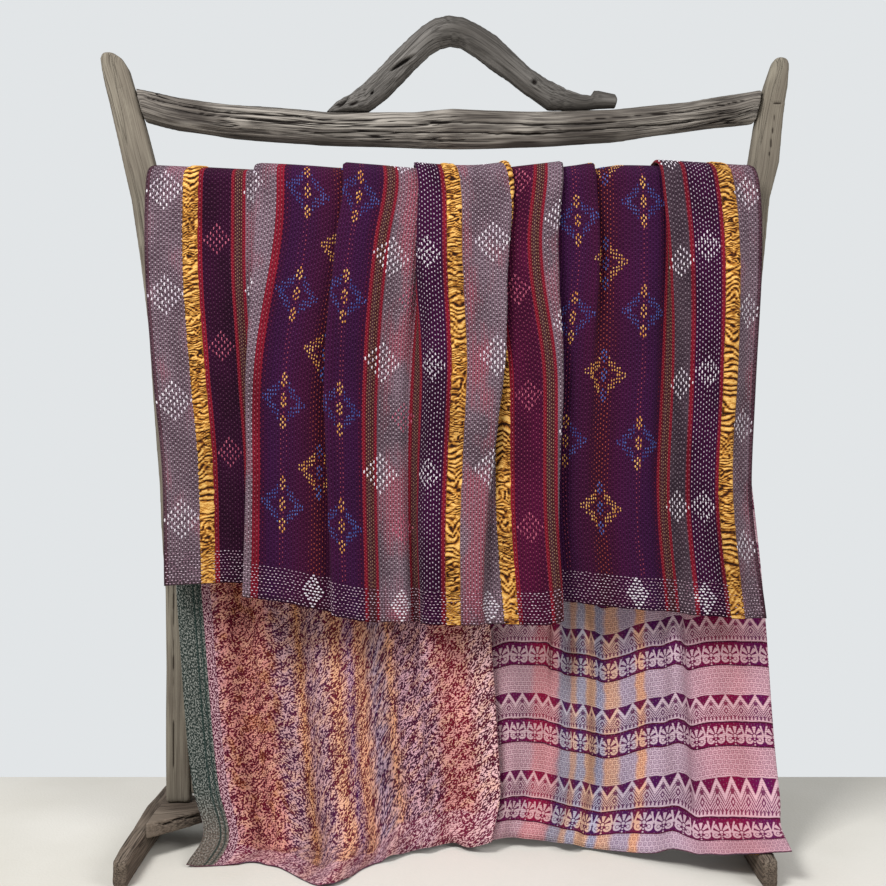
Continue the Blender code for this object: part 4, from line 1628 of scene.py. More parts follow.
@dataclass(frozen=True)
class FloorFinish(Finish):
    """Pale plain floor."""

    ground: Colour = (0.68, 0.65, 0.58, 1.0)
    light: Colour = (0.78, 0.75, 0.69, 1.0)

    def surface(self, net: Net, effects: Effects) -> Surface:
        """The surface.

        Args:
            net: Net of the material.
            effects: Not used.

        Returns:
            The surface.
        """
        place = net.here()
        cloud = net.smooth(net.patches(place, (1.6, 1.6, 1.6), 5.0), 0.3, 0.7)
        fine = net.patches(place, (180.0, 180.0, 180.0), 2.0)
        return Surface(net.mix(fine * 0.25 + cloud, self.ground, self.light), fine, 0.0006)


# ---------------- sewn pieces


def add_piece(name: str, verts: np.ndarray, faces: list, look: Material) -> Object:
    """A smooth mesh object in the scene.

    Args:
        name: Name of the object.
        verts: Points, one a row.
        faces: Corners of each face.
        look: The piece's material.

    Returns:
        The object.
    """
    mesh = bpy.data.meshes.new(name)
    mesh.from_pydata(verts.tolist(), [], faces)
    mesh.materials.append(look)
    mesh.polygons.foreach_set("use_smooth", np.ones(len(faces), bool))
    mesh.update()
    return linked(name, mesh)


@dataclass
class GoldRibbons:
    """Crushed ribbons sewn over the joins of the stripes."""

    cloth: QuiltCloth
    step: float = 0.0013
    across: int = 9
    relief: float = 0.0034
    lift: float = 0.0016
    crease_every: float = 0.0115
    flat_below: float = 0.06

    def one(self, start: float, stop: float, seed: int) -> tuple:
        """Points, flat places and crumple of one ribbon.

        Args:
            start: Where it begins across the cloth.
            stop: Where it ends.
            seed: Chooses its creases.

        Returns:
            Points, faces, flat places and crumple.
        """
        v = np.arange(EDGE_MARGIN, self.cloth.shape.length - EDGE_MARGIN, self.step)
        grid_v, grid_p = np.meshgrid(v, np.linspace(0, 1, self.across), indexing="ij")
        slow = 0.9 * soft_noise(grid_p * 1.3, grid_v / 0.019, seed)
        lean = soft_noise(0 * grid_p + 0.5, grid_v / 0.034, seed + 3)
        chevron = 2.0 * lean * np.abs(grid_p - 0.5) * 2 + 1.1 * lean * (grid_p - 0.5)
        pace = 0.25 * soft_noise(0 * grid_p + 9.5, grid_v / 0.07, seed + 4)
        large = np.abs(np.sin(np.pi * (grid_v / self.crease_every + slow + chevron + 3 * pace)))
        twist = 1.3 * soft_noise(grid_p * 2.4 + 5, grid_v / 0.009, seed + 5)
        small = np.abs(np.sin(np.pi * (grid_v / 0.0052 + twist + 1.8 * chevron)))
        broken = soft_noise(grid_p * 4.6 + 3, grid_v / 0.0042, seed + 1)
        weight = np.clip(0.5 + 0.6 * soft_noise(grid_p * 0.8, grid_v / 0.045, seed + 6), 0.2, 0.85)
        crumple = weight * large**0.6 + (1 - weight) * small**0.8
        crumple = np.clip(1.04 * crumple + 0.16 * broken, 0, 1)
        calm = np.clip((grid_v - self.flat_below + 0.012) / 0.012, 0.16, 1)
        ruffle = 0.0013 * soft_noise(grid_v / 0.008, grid_p * 2 + 7, seed + 2) * calm
        u = start + grid_p * (stop - start) + ruffle * np.sign(grid_p - 0.5)
        u += np.where(np.abs(grid_p - 0.5) > 0.45, np.sign(grid_p - 0.5) * 0.0006, 0)
        edge = np.clip((0.5 - np.abs(grid_p - 0.5)) * 6, 0, 1) ** 0.5
        rise = (self.lift + self.relief * (crumple - 0.3) * calm) * edge + (1 - edge) * 0.0007
        point, normal, _, _ = self.cloth.place(u.ravel(), grid_v.ravel())
        point = point + normal * rise.ravel()[:, None]
        rows, count = grid_v.shape
        a, _ = quad_grid(rows, count)
        faces = np.column_stack((a, a + 1, a + count + 1, a + count))
        flat = np.column_stack((u.ravel(), grid_v.ravel()))
        # The ribbon's colour reads this level: painted shade where it is low in the creases and a painted
        # highlight where it is high on the crests; near the hem it is evened out.
        shown = np.where(calm < 0.5, 0.7 + 0.8 * (crumple - 0.62), crumple)
        return point, faces, flat, shown.ravel()

    def build(self, look: Material) -> Object:
        """All the ribbons as one piece.

        Args:
            look: The ribbons' material.

        Returns:
            The piece.
        """
        parts, count = [], 0
        starts = [0.0] + [stripe.end for stripe in STRIPES]
        for i, stripe in enumerate(STRIPES):
            if stripe.kind is Kind.GOLD:
                point, faces, flat, crumple = self.one(starts[i], stripe.end, 40 + i)
                parts.append((point, faces + count, flat, crumple))
                count += len(point)
        verts, faces, flat, crumple = (np.concatenate(p) for p in zip(*parts))
        piece = add_piece("gold_ribbons", verts, faces.tolist(), look)
        layer = piece.data.uv_layers.new(name=SHEET_MAP)
        layer.data.foreach_set("uv", flat[faces.ravel()].ravel())
        # The crumple attribute sets the ribbon's painted shade and highlights.
        level = piece.data.attributes.new("crumple", "FLOAT", "POINT")
        level.data.foreach_set("value", crumple)
        return piece


class Thread(Enum):
    """Sewing threads that show as their own pieces."""

    WHITE = "white"
    PINK = "pink"
    BLUE = "blue"
    YELLOW = "yellow"
    DARK = "dark"
    PALE = "pale"


@dataclass
class Stitching:
    """Stitches of the sewn motifs and hems, gathered by thread."""

    cloth: QuiltCloth
    seed: int = 11
    found: dict = field(default_factory=dict)

    def sew(self, thread: Thread, u: Places, v: Places, size: tuple, turn: float = 0.0) -> None:
        """Adds stitches.

        Args:
            thread: The thread.
            u: Their middles across the cloth.
            v: Their middles along it.
            size: Their length and width.
            turn: Angle from lengthwise, in radians.
        """
        u, v = np.atleast_1d(u).astype(float), np.atleast_1d(v).astype(float)
        keep = (v > EDGE_MARGIN) & (v < self.cloth.shape.length - EDGE_MARGIN) & (u > EDGE_MARGIN)
        keep &= u < self.cloth.shape.width - EDGE_MARGIN
        sizes = np.array([[*size, turn]]).repeat(keep.sum(), axis=0)
        rows = np.column_stack((u[keep], v[keep], sizes))
        self.found.setdefault(thread, []).append(rows)

    def diamond(self, thread: Thread, at: tuple, steps: int, pitch: tuple, size: tuple) -> None:
        """A diamond filled with lengthwise stitches, one more in each column to its middle.

        Args:
            thread: The thread.
            at: Its middle on the flat cloth.
            steps: Stitches in its middle column.
            pitch: Gaps across and along.
            size: Length and width of a stitch.
        """
        counts = list(range(1, steps + 1)) + list(range(steps - 1, 0, -1))
        for i, count in enumerate(counts):
            k = np.arange(count) - (count - 1) / 2
            u = at[0] + (i - steps + 1) * pitch[0]
            self.sew(thread, u + 0 * k, at[1] + k * pitch[1], size)

    def wings(self, thread: Thread, at: tuple, half: tuple, pitch: float, size: tuple) -> None:
        """The two sides of a diamond, each drawn by two rows of lengthwise stitches.

        Args:
            thread: The thread.
            at: Its middle on the flat cloth.
            half: Half its width and half its height.
            pitch: Gap between columns.
            size: Length and width of a stitch.
        """
        count = int(half[0] / pitch)
        for i in range(-count, count + 1):
            if abs(i) < 2:
                continue
            high = half[1] * (1 - abs(i) * pitch / half[0])
            offset = 0.0035 * (i % 2)
            for level in (high - offset, high - offset - 0.0068, high - offset - 0.0136):
                if level > -0.002:
                    u = np.array([at[0] + i * pitch] * 2)
                    v = np.array([at[1] + level, at[1] - level])
                    self.sew(thread, u, v, size)

    def beads(self, thread: Thread, at: tuple, places: Sequence[float], size: tuple) -> None:
        """Small diamonds of seven stitches, one above another.

        Args:
            thread: The thread.
            at: Middle of the motif.
            places: Offsets of the beads along the cloth.
            size: Length and width of a stitch.
        """
        for place in places:
            for side, rows in ((-0.0042, (-0.0052, 0.0052)), (0.0, (-0.0104, 0.0, 0.0104))):
                for sign in (-1, 1) if side else (1,):
                    v = at[1] + place + np.array(rows)
                    self.sew(thread, at[0] + side * sign + 0 * v, v, size)

    def build(self, looks: dict, name: str) -> list[Object]:
        """One piece for each thread.

        Args:
            looks: Materials by thread.
            name: Start of the pieces' names.

        Returns:
            The pieces.
        """
        rng = np.random.default_rng(self.seed)
        pieces = []
        for thread, groups in self.found.items():
            rows = np.concatenate(groups)
            count = len(rows)
            rows[:, 0] += rng.normal(0, 0.00045, count)
            rows[:, 1] += rng.normal(0, 0.0006, count)
            rows[:, 2] *= rng.uniform(0.84, 1.14, count)
            rows[:, 3] *= rng.uniform(0.85, 1.15, count)
            rows[:, 4] += rng.normal(0, 0.07, count)
            point, normal, across, up = self.cloth.place(rows[:, 0], rows[:, 1])
            point = point + normal * (self.cloth.thickness / 2)
            cos, sin = np.cos(rows[:, 4:5]), np.sin(rows[:, 4:5])
            ahead, beside = up * cos + across * sin, across * cos - up * sin
            ring = []
            for along, side, rise in GRAIN_POINTS:
                step = ahead * (along * rows[:, 2:3]) + beside * (side * rows[:, 3:4])
                ring.append(point + step + normal * (rise * rows[:, 3:4]))
            verts = np.stack(ring, axis=1).reshape(-1, 3)
            base = np.arange(count)[:, None, None] * len(GRAIN_POINTS)
            faces = (np.array(GRAIN_FACES)[None] + base).reshape(-1, 4).tolist()
            faces = [row[:3] if row[2] == row[3] else row for row in faces]
            pieces.append(add_piece(f"{name}_{thread.value}", verts, faces, looks[thread]))
        return pieces


# A stitch: two sunk tips and two arched ribs. Each row is along, beside and rise; a face that
# repeats its last corner is a triangle.
GRAIN_POINTS = (
    (-0.5, 0.0, -0.12), (-0.27, -0.5, -0.1), (-0.27, 0.0, 0.42), (-0.27, 0.5, -0.1), (0.27, -0.5, -0.1),
    (0.27, 0.0, 0.42), (0.27, 0.5, -0.1), (0.5, 0.0, -0.12)
)
GRAIN_FACES = ((0, 2, 1, 1), (0, 3, 2, 2), (1, 2, 5, 4), (2, 3, 6, 5), (4, 5, 7, 7), (5, 6, 7, 7))


class Motif(NamedTuple):
    """A column of motifs: its middle across the cloth, its heights on the front flap."""

    u: float
    heights: tuple[float, ...]


class Filled(NamedTuple):
    """A column of filled diamonds and the way they are sewn."""

    motif: Motif
    thread: Thread
    steps: int
    pitch: tuple[float, float]
    size: tuple[float, float]


class Drawn(NamedTuple):
    """A column of outlined diamonds with beads."""

    motif: Motif
    line: Thread
    bead: Thread


SMALL, LARGE = (0.0058, 0.013), (0.0066, 0.0138)
DASH, LONG_DASH = (0.0068, 0.0026), (0.0076, 0.0029)
FILLED = (
    Filled(Motif(0.036, (1.247, 1.048, 0.848, 0.626)), Thread.WHITE, 6, LARGE, LONG_DASH),
    Filled(Motif(0.1375, (1.155, 0.952, 0.752)), Thread.PINK, 5, SMALL, DASH),
    Filled(Motif(0.215, (1.254, 1.063, 0.867)), Thread.WHITE, 5, SMALL, DASH),
    Filled(Motif(0.552, (1.119, 0.921, 0.711)), Thread.WHITE, 6, LARGE, LONG_DASH),
    Filled(Motif(0.6, (1.038, 0.816, 0.606)), Thread.PINK, 5, SMALL, DASH),
    Filled(Motif(0.668, (1.128, 0.918, 0.711)), Thread.WHITE, 5, SMALL, DASH),
    Filled(Motif(0.794, (1.147, 0.933, 0.722)), Thread.WHITE, 6, LARGE, LONG_DASH),
    Filled(Motif(0.8945, (1.269, 1.057, 0.859, 0.613)), Thread.PINK, 5, SMALL, DASH),
    Filled(Motif(0.9775, (1.2, 1.0, 0.8)), Thread.WHITE, 5, SMALL, DASH),
    Filled(Motif(1.3125, (1.11, 0.882, 0.651)), Thread.WHITE, 5, SMALL, DASH),
    Filled(Motif(1.3655, (1.138, 0.903, 0.651)), Thread.WHITE, 5, SMALL, DASH),
    Filled(Motif(1.455, (1.239, 1.017, 0.801, 0.575)), Thread.WHITE, 5, LARGE, LONG_DASH)
)
DRAWN = (
    Drawn(Motif(0.326, (1.243, 1.048, 0.848, 0.656)), Thread.BLUE, Thread.YELLOW),
    Drawn(Motif(0.3985, (1.132, 0.937, 0.715)), Thread.YELLOW, Thread.BLUE),
    Drawn(Motif(0.471, (1.232, 1.044, 0.833, 0.615)), Thread.BLUE, Thread.YELLOW),
    Drawn(Motif(1.078, (1.189, 1.006, 0.773)), Thread.BLUE, Thread.YELLOW),
    Drawn(Motif(1.1505, (1.108, 0.897, 0.647)), Thread.YELLOW, Thread.BLUE),
    Drawn(Motif(1.223, (1.224, 1.017, 0.769)), Thread.BLUE, Thread.YELLOW)
)
HEM_DIAMONDS = (0.19, 0.39, 0.59, 0.802, 1.0, 1.2126, 1.353)


@dataclass
class Embroidery:
    """The pattern of motifs over the striped face and the rows along both hems."""

    cloth: QuiltCloth
    repeat: float = 0.2
    reach: tuple[float, float] = (0.043, 0.042)
    hem_rows: int = 11
    hem_pitch: tuple[float, float] = (0.0078, 0.0056)
    hem_start: float = 0.0035
    hem_clear: tuple[float, float] = (0.026, 0.037)
    inset: float = 0.004

    def places(self, motif: Motif) -> list[tuple[float, float]]:
        """Every motif of a column, carried on over the rail and down the back.

        Args:
            motif: The column.

        Returns:
            Middles on the flat cloth.
        """
        drops = [self.cloth.drop_at(motif.u, z) for z in motif.heights]
        top = max(drops)
        while top + self.repeat < self.cloth.shape.length - 0.12:
            top += self.repeat
            drops.append(top)
        return [(motif.u, v) for v in drops]

    def motifs(self, sewn: Stitching) -> None:
        """Sews every motif.

        Args:
            sewn: Takes the stitches.
        """
        for row in FILLED:
            for at in self.places(row.motif):
                sewn.diamond(row.thread, at, row.steps, row.pitch, row.size)
        for row in DRAWN:
            for at in self.places(row.motif):
                sewn.wings(row.line, at, self.reach, 0.005, (0.0044, 0.0023))
                sewn.beads(row.bead, at, (-0.038, 0.0, 0.038), (0.006, 0.0027))

    def from_front(self, v: np.ndarray, far: bool) -> np.ndarray:
        """Places from the front hem, of places counted from it or from the far hem."""
        return self.cloth.shape.length - v if far else v

    def hems(self, sewn: Stitching) -> None:
        """Sews rows of crosswise stitches along both hems, with diamonds among them.

        Args:
            sewn: Takes the stitches.
        """
        turn = math.pi / 2
        across, up = self.hem_pitch
        wide, high = self.hem_clear
        middle = self.hem_start + up * (self.hem_rows - 1) / 2
        for far in (False, True):
            for row in range(self.hem_rows):
                u = np.arange(self.inset, self.cloth.shape.width - self.inset, across)
                u = u + (row % 2) * across / 2
                v = self.hem_start + row * up
                clear = np.ones(len(u), bool)
                for at in HEM_DIAMONDS:
                    clear &= np.abs(u - at) > wide * (1 - abs(v - middle) / high)
                place = self.from_front(v + 0 * u[clear], far)
                sewn.sew(Thread.PALE, u[clear], place, (0.0042, 0.0018), turn)
            for at in HEM_DIAMONDS:
                for row in range(self.hem_rows):
                    count = 1 + min(row, self.hem_rows - 1 - row)
                    k = (np.arange(count) - (count - 1) / 2) * across
                    place = self.from_front(self.hem_start + row * up + 0 * k, far)
                    sewn.sew(Thread.WHITE, at + k, place, (0.0062, 0.0034), turn)

    def edges(self, sewn: Stitching) -> None:
        """Sews dark stitches over the right edge."""
        v = np.arange(self.inset, self.cloth.shape.length, 0.0074)
        sewn.sew(Thread.DARK, 1.4775 + 0 * v, v, (0.0058, 0.002), math.radians(68))


# ---------------- driftwood


class Along(Enum):
    """The direction in which a piece of wood runs."""

    X = 0
    Y = 1
    Z = 2


class Split(NamedTuple):
    """A lengthwise crack: from and to along the wood, angle round it, width and depth."""

    start: float
    stop: float
    angle: float
    width: float
    depth: float


class Dent(NamedTuple):
    """A mark on the front of the wood: place, half length, half width, slope, depth, darkness."""

    x: float
    z: float
    long: float
    wide: float
    slope: float
    depth: float
    dark: float


class Outline(NamedTuple):
    """Upper and lower edge of a bent branch seen from the front, as places across and up."""

    upper: tuple[tuple[float, float], ...]
    lower: tuple[tuple[float, float], ...]

    def reshape(self, points: np.ndarray) -> None:
        """Moves the points of a mesh so that its edges follow the outline.

        Args:
            points: Points of the mesh, changed in place.
        """
        upper, lower = np.array(self.upper), np.array(self.lower)
        start, stop = points[:, 0].min(), points[:, 0].max()
        bend = start + 0.06
        reach = (bend - upper[0, 0]) / (bend - start)
        cuts = np.linspace(start, stop, 121)
        which = np.clip(np.digitize(points[:, 0], cuts) - 1, 0, 119)
        high = np.array([points[which == i, 2].max() for i in range(120)])
        low = np.array([points[which == i, 2].min() for i in range(120)])
        middles = (cuts[:-1] + cuts[1:]) / 2
        top = np.interp(points[:, 0], middles, high)
        base = np.interp(points[:, 0], middles, low)
        part = np.clip((points[:, 2] - base) / (top - base), 0, 1)
        left = points[:, 0] < bend
        points[left, 0] = bend - (bend - points[left, 0]) * reach
        new_top = np.interp(points[:, 0], upper[:, 0], upper[:, 1])
        new_base = np.interp(points[:, 0], lower[:, 0], lower[:, 1])
        points[:, 2] = new_base + part * (new_top - new_base)
        points[left, 1] *= np.interp(points[left, 0], (upper[0, 0], bend), (0.45, 1.0))


@dataclass
class Driftwood:
    """A weathered copy of one of the frame's wooden parts."""

    node: str
    along: Along
    voxel: float = 0.0032
    lumps: float = 0.0014
    ridges: float = 0.0009
    seed: int = 1
    splits: tuple[Split, ...] = ()
    dents: tuple[Dent, ...] = ()
    outline: Outline | None = None
    look: WoodFinish = WoodFinish("wood")
    lowest: float = 0.0004

    def remeshed(self, nodes: dict) -> Mesh:
        """An evenly fine copy of the part.

        Args:
            nodes: The frame's objects by name.

        Returns:
            The mesh.
        """
        copy = nodes[self.node].data.copy()
        mesh = bmesh.new()
        mesh.from_mesh(copy)
        bmesh.ops.remove_doubles(mesh, verts=mesh.verts, dist=1e-5)
        mesh.to_mesh(copy)
        mesh.free()
        copy.materials.clear()
        rough = linked("rough", copy)
        remesh = rough.modifiers.new("even", "REMESH")
        remesh.mode = "VOXEL"
        remesh.voxel_size = self.voxel
        bpy.context.view_layer.update()
        shown = rough.evaluated_get(bpy.context.evaluated_depsgraph_get())
        fine = bpy.data.meshes.new_from_object(shown)
        bpy.data.objects.remove(rough)
        mesh = bmesh.new()
        mesh.from_mesh(fine)
        for _ in range(3):
            bmesh.ops.smooth_vert(
                mesh, verts=mesh.verts, factor=0.5, use_axis_x=True, use_axis_y=True, use_axis_z=True
            )
        mesh.to_mesh(fine)
        mesh.free()
        return fine

    def straightened(self, points: np.ndarray) -> tuple:
        """Grain coordinates, with the wood's bends taken out.

        Args:
            points: Points of the mesh.

        Returns:
            Coordinates with the length last, and the mean radius of each point's section.
        """
        axis = self.along.value
        others = [i for i in range(3) if i != axis]
        t = points[:, axis]
        cuts = np.linspace(t.min(), t.max(), 34)
        which = np.clip(np.digitize(t, cuts) - 1, 0, 32)
        sections = np.array([
            points[which == i][:, others].mean(axis=0) if (which == i).any() else [np.nan, np.nan]
            for i in range(33)
        ])
        middles = (cuts[:-1] + cuts[1:]) / 2
        known = ~np.isnan(sections[:, 0])
        centre = SmoothCurve(middles[known], sections[known])
        away = np.empty((len(points), 2))
        for start in range(0, len(points), 20000):
            part = slice(start, start + 20000)
            row = np.column_stack([np.interp(t[part], middles[known], centre.values[:, k]) for k in (0, 1)])
            away[part] = points[part][:, others] - row
        return np.column_stack((away, t)), np.linalg.norm(away, axis=1)

    def build(self, nodes: dict, look: Material) -> Object:
        """The weathered part.

        Args:
            nodes: The frame's objects by name.
            look: Its material.

        Returns:
            The object.
        """
        mesh = self.remeshed(nodes)
        count = len(mesh.vertices)
        points = np.empty(count * 3)
        mesh.vertices.foreach_get("co", points)
        points = points.reshape(-1, 3)
        if self.outline:
            self.outline.reshape(points)
            mesh.vertices.foreach_set("co", points.ravel())
            mesh.update()
        normals = np.empty(count * 3)
        mesh.vertex_normals.foreach_get("vector", normals)
        normals = normals.reshape(-1, 3)
        grain, radius = self.straightened(points)
        turn = np.arctan2(grain[:, 1], grain[:, 0])
        if self.along is Along.Z:
            turn = np.arctan2(grain[:, 0], -grain[:, 1])
        if self.along is Along.X:
            turn = np.arctan2(grain[:, 1], -grain[:, 0])
        t = grain[:, 2] + 3.0
        girth = turn * float(radius.mean())
        lump = soft_noise(girth / 0.03 + 40, t / 0.09, self.seed)
        ridge = soft_noise(girth / 0.0062 + 80 + 0.6 * lump, t / 0.11, self.seed + 1)
        fine = soft_noise(girth / 0.0034 + 120, t / 0.05, self.seed + 2)
        rise = self.lumps * lump + self.ridges * (0.7 * ridge + 0.5 * fine)
        sunk = np.clip((-0.6 - ridge) * 2.2, 0, 0.5) * min(1.0, self.ridges / 0.0009)
        for split in self.splits:
            sway = 0.18 * soft_noise(t / 0.13 + split.angle * 7, 0 * t + 0.5, self.seed + 5)
            sway += 0.05 * soft_noise(t / 0.02, 0 * t + 5.5, self.seed + 6)
            away = (turn - split.angle - sway) * radius
            inside = np.clip((grain[:, 2] - split.start) / 0.03, 0, 1)
            inside *= np.clip((split.stop - grain[:, 2]) / 0.03, 0, 1)
            cut = np.exp(-((away / split.width) ** 2)) * inside
            rise -= split.depth * cut
            sunk = np.maximum(sunk, np.clip(cut * 1.5 - 0.25, 0, 1))
        for dent in self.dents:
            cos, sin = math.cos(dent.slope), math.sin(dent.slope)
            off_x, off_z = points[:, 0] - dent.x, points[:, 2] - dent.z
            long = (off_x * cos + off_z * sin) / dent.long
            wide = (off_z * cos - off_x * sin) / dent.wide
            away = long * long + wide * wide
            front = np.clip(-normals[:, 1] * 2, 0, 1)
            hole = np.exp(-(away**2)) * front
            rim = np.exp(-((np.sqrt(away) - 1.5) ** 2) * 6) * front
            rise -= dent.depth * hole - 0.18 * dent.depth * rim
            sunk = np.maximum(sunk, dent.dark * hole)
        points += normals * rise[:, None]
        points[:, 2] = np.maximum(points[:, 2], self.lowest)
        mesh.vertices.foreach_set("co", points.ravel())
        mesh.materials.clear()
        mesh.materials.append(look)
        for name, kind, label, values in (
            (GRAIN, "FLOAT_VECTOR", "vector", grain), ("sunk", "FLOAT", "value", sunk),
            ("worn", "FLOAT", "value", np.clip((lump + 0.6 * fine - 0.35) * 0.8, 0, 0.7))
        ):
            made = mesh.attributes.new(name, kind, "POINT")
            made.data.foreach_set(label, np.ascontiguousarray(values, np.float32).ravel())
        mesh.polygons.foreach_set("use_smooth", np.ones(len(mesh.polygons), bool))
        mesh.update()
        mesh.name = f"{self.node}_wood"
        piece = linked(mesh.name, mesh)
        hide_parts(self.node)
        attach(piece, "root")
        return piece


# ---------------- studio


@dataclass
class Studio:
    """Floor, camera and lights."""

    camera_y: float = -2.4
    camera_z: float = 0.85
    lens: float = 50.0
    sensor: float = 36.0
    shift: tuple[float, float] = (-0.0023, -0.0485)
    floor_half: float = 3.2
    floor_back: float = 0.375
    floor_front: float = -3.0
    sky: float = 0.42
    backdrop: float = 0.8

    def build_floor(self, look: Material) -> None:
        """A plain floor that ends behind the rack.

        Args:
            look: The floor's material.
        """
        mesh = bmesh.new()
        corners = (
            (-self.floor_half, self.floor_front), (self.floor_half, self.floor_front),
            (self.floor_half, self.floor_back), (-self.floor_half, self.floor_back)
        )
        verts = [mesh.verts.new((x, y, 0.0)) for x, y in corners]
        mesh.faces.new(verts)
        data = bpy.data.meshes.new("floor")
        mesh.to_mesh(data)
        mesh.free()
        data.materials.append(look)
        floor = linked("floor", data)
        floor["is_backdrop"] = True

    def build_camera(self) -> None:
        """The camera, level and square to the quilt."""
        data = bpy.data.cameras.new("camera")
        data.lens = self.lens
        data.sensor_width = self.sensor
        data.shift_x, data.shift_y = self.shift
        camera = linked("camera", data)
        camera.location = (0.0, self.camera_y, self.camera_z)
        camera.rotation_euler = (math.pi / 2, 0.0, 0.0)
        bpy.context.scene.camera = camera

    def build_light(self, name: str, place: Vector3, aim: Vector3, size: float, power: float) -> None:
        """One soft square light.

        Args:
            name: Name of the light.
            place: Where it hangs.
            aim: Where it points.
            size: Its side.
            power: Its power in watts.
        """
        data = bpy.data.lights.new(name, "AREA")
        data.shape = "SQUARE"
        data.size = size
        data.energy = power
        light = linked(name, data)
        light.location = place
        light.rotation_euler = (Vector(aim) - Vector(place)).to_track_quat("-Z", "Y").to_euler()

    def build_sky(self) -> None:
        """An even pale surround."""
        world = bpy.data.worlds.new("surround")
        world.use_nodes = True
        net = Net(world.node_tree)
        back = world.node_tree.nodes["Background"]
        back.inputs["Color"].default_value = (0.95, 0.98, 1.0, 1.0)
        seen = net.made_by("ShaderNodeLightPath", {}, "Is Camera Ray")
        strength = seen * (self.backdrop - self.sky) + self.sky
        net.put(back.inputs["Strength"], strength)
        bpy.context.scene.world = world
        bpy.context.scene.view_settings.view_transform = "Standard"

    def build(self, floor_look: Material) -> None:
        """The whole studio.

        Args:
            floor_look: The floor's material.
        """
        self.build_floor(floor_look)
        self.build_camera()
        self.build_light("key", (-1.4, -1.9, 3.1), (0.0, 0.0, 0.8), 1.2, 100.0)
        self.build_light("fill", (2.4, -2.2, 2.4), (0.1, 0.0, 0.7), 1.6, 48.0)
        self.build_sky()


# ---------------- finishes in use


GROUNDS = {
    Kind.MAUVE: MauveFinish(
        "mauve_cotton", ground="8c7280", shadow="6a5460", bleed_part=0.42, thread="dccad4",
        thread_part=0.85, ripple=0.9, gap=0.62, stained=((0.56, 0.613), (0.74, 0.79))
    ),
    Kind.EDGE: GroundFinish(
        "edge_cotton", ground="6c4c58", shadow="4a2c38", thread="9a8490", thread_part=0.4
    ),
    Kind.WIDE: WideFinish(
        "purple_cotton", shadow="2a0c28",
        grounds=(
            (0.0, "3c0c30"), (0.08, "3a103c"), (0.2, "40123c"), (0.32, "441036"), (0.5, "3c0a24"),
            (0.66, "44103a"), (0.8, "40123c"), (0.92, "3a103c"), (1.0, "3c0c30")
        ),
        threads=(
            (0.0, "a03044"), (0.06, "5c3058"), (0.16, "5c3464"), (0.175, "c0586c"), (0.2, "c0586c"),
            (0.22, "5c3464"), (0.4, "703450"), (0.44, "c85c4c"), (0.55, "c85c4c"), (0.58, "703450"),
            (0.78, "5c3464"), (0.795, "c0586c"), (0.82, "c0586c"), (0.84, "5c3464"), (0.94, "5c3058"),
            (1.0, "a03044")
        ),
        thread_part=0.92, ripple=0.45, stitch=(0.0019, 0.0036)
    ),
    Kind.PLUM: GroundFinish(
        "plum_cotton", ground="400a38", shadow="2e0628", thread="e8d8e4", thread_part=0.9, ripple=0.4,
        stitch=(0.0022, 0.0034)
    ),
    Kind.MAGENTA: GroundFinish(
        "magenta_cotton", ground="560e36", shadow="40082a", thread="b45874", thread_part=0.55,
        ripple=0.4
    ),
    Kind.DUSK: GroundFinish(
        "dusk_cotton", ground="360a2c", shadow="26061e", thread="845070", thread_part=0.45, ripple=0.4
    ),
    Kind.RED: GroundFinish(
        "red_cotton", ground="8c182e", shadow="6c1022", thread="d07c88", thread_part=0.6, ripple=0.4
    ),
    Kind.SLATE: GroundFinish(
        "slate_cotton", ground="584450", shadow="3c2c38", thread="b4a0ac", thread_part=0.65, ripple=0.6
    ),
    Kind.PIN: PinFinish(
        "pin_cotton",
        grounds=(
            (0.0, "641424"), (0.22, "641424"), (0.3, "4a1c24"), (0.45, "54303a"), (0.6, "44181e"),
            (0.74, "52242c"), (1.0, "641424")
        ),
        thread="d8ac88", thread_part=0.75, pitch=(0.0039, 0.0066), stitch=(0.0016, 0.0032), ripple=0.3
    ),
    Kind.GOLD: GroundFinish(
        "gold_ground", ground="a87420", shadow="6b3f10", thread="d8a850", thread_part=0.4
    )
}

SPECKLE = SpeckleFinish(
    "speckled_weave",
    bands=(
        (0.0, "cc98a8", "561434"), (0.072, "cc8078", "6c1028"), (0.187, "cca0a8", "56244a"),
        (0.236, "e09c64", "742c20"), (0.261, "cca0a8", "54224a"), (0.325, "e8a880", "7c2c30"),
        (0.36, "ac84a4", "44185a"), (0.381, "e4a480", "7c2c30"), (0.424, "bca0b4", "441e4c"),
        (0.464, "dc9864", "6a2c2c"), (0.482, "c898a8", "4a183a"), (0.583, "dc9490", "84142c"),
        (0.654, "ecbcc0", "5c1834")
    )
)

BANDS = BandsFinish(
    "banded_print",
    deeps=(
        (0.745, "6c0c3c"), (0.93, "5c1244"), (0.96, "8a1238"), (1.0, "7c1238"), (1.02, "3c1a50"),
        (1.05, "701c38"), (1.066, "3c1a50"), (1.09, "74203a"), (1.126, "38184c"), (1.15, "6c1c3c"),
        (1.18, "441650"), (1.205, "701c38"), (1.23, "48124c"), (1.3, "5a1044"), (1.4, "7c0c38"),
        (1.46, "5c104c"), (1.481, "6c1040")
    ),
    tints=(
        (0.745, "c8909c"), (0.945, "b48c98"), (0.957, "cc8288"), (1.006, "cc8288"), (1.014, "9090a4"),
        (1.04, "9494a4"), (1.046, "cca080"), (1.058, "cca080"), (1.064, "9094ac"), (1.076, "9094ac"),
        (1.082, "dca878"), (1.114, "dca878"), (1.121, "8c94b4"), (1.132, "8c94b4"), (1.139, "d89c70"),
        (1.16, "d0a080"), (1.168, "a898b0"), (1.194, "a898b0"), (1.199, "e09c68"), (1.211, "e09c68"),
        (1.217, "b49cb0"), (1.285, "c0a0b4"), (1.35, "cc94a4"), (1.42, "d08c98"), (1.481, "c898a8")
    )
)

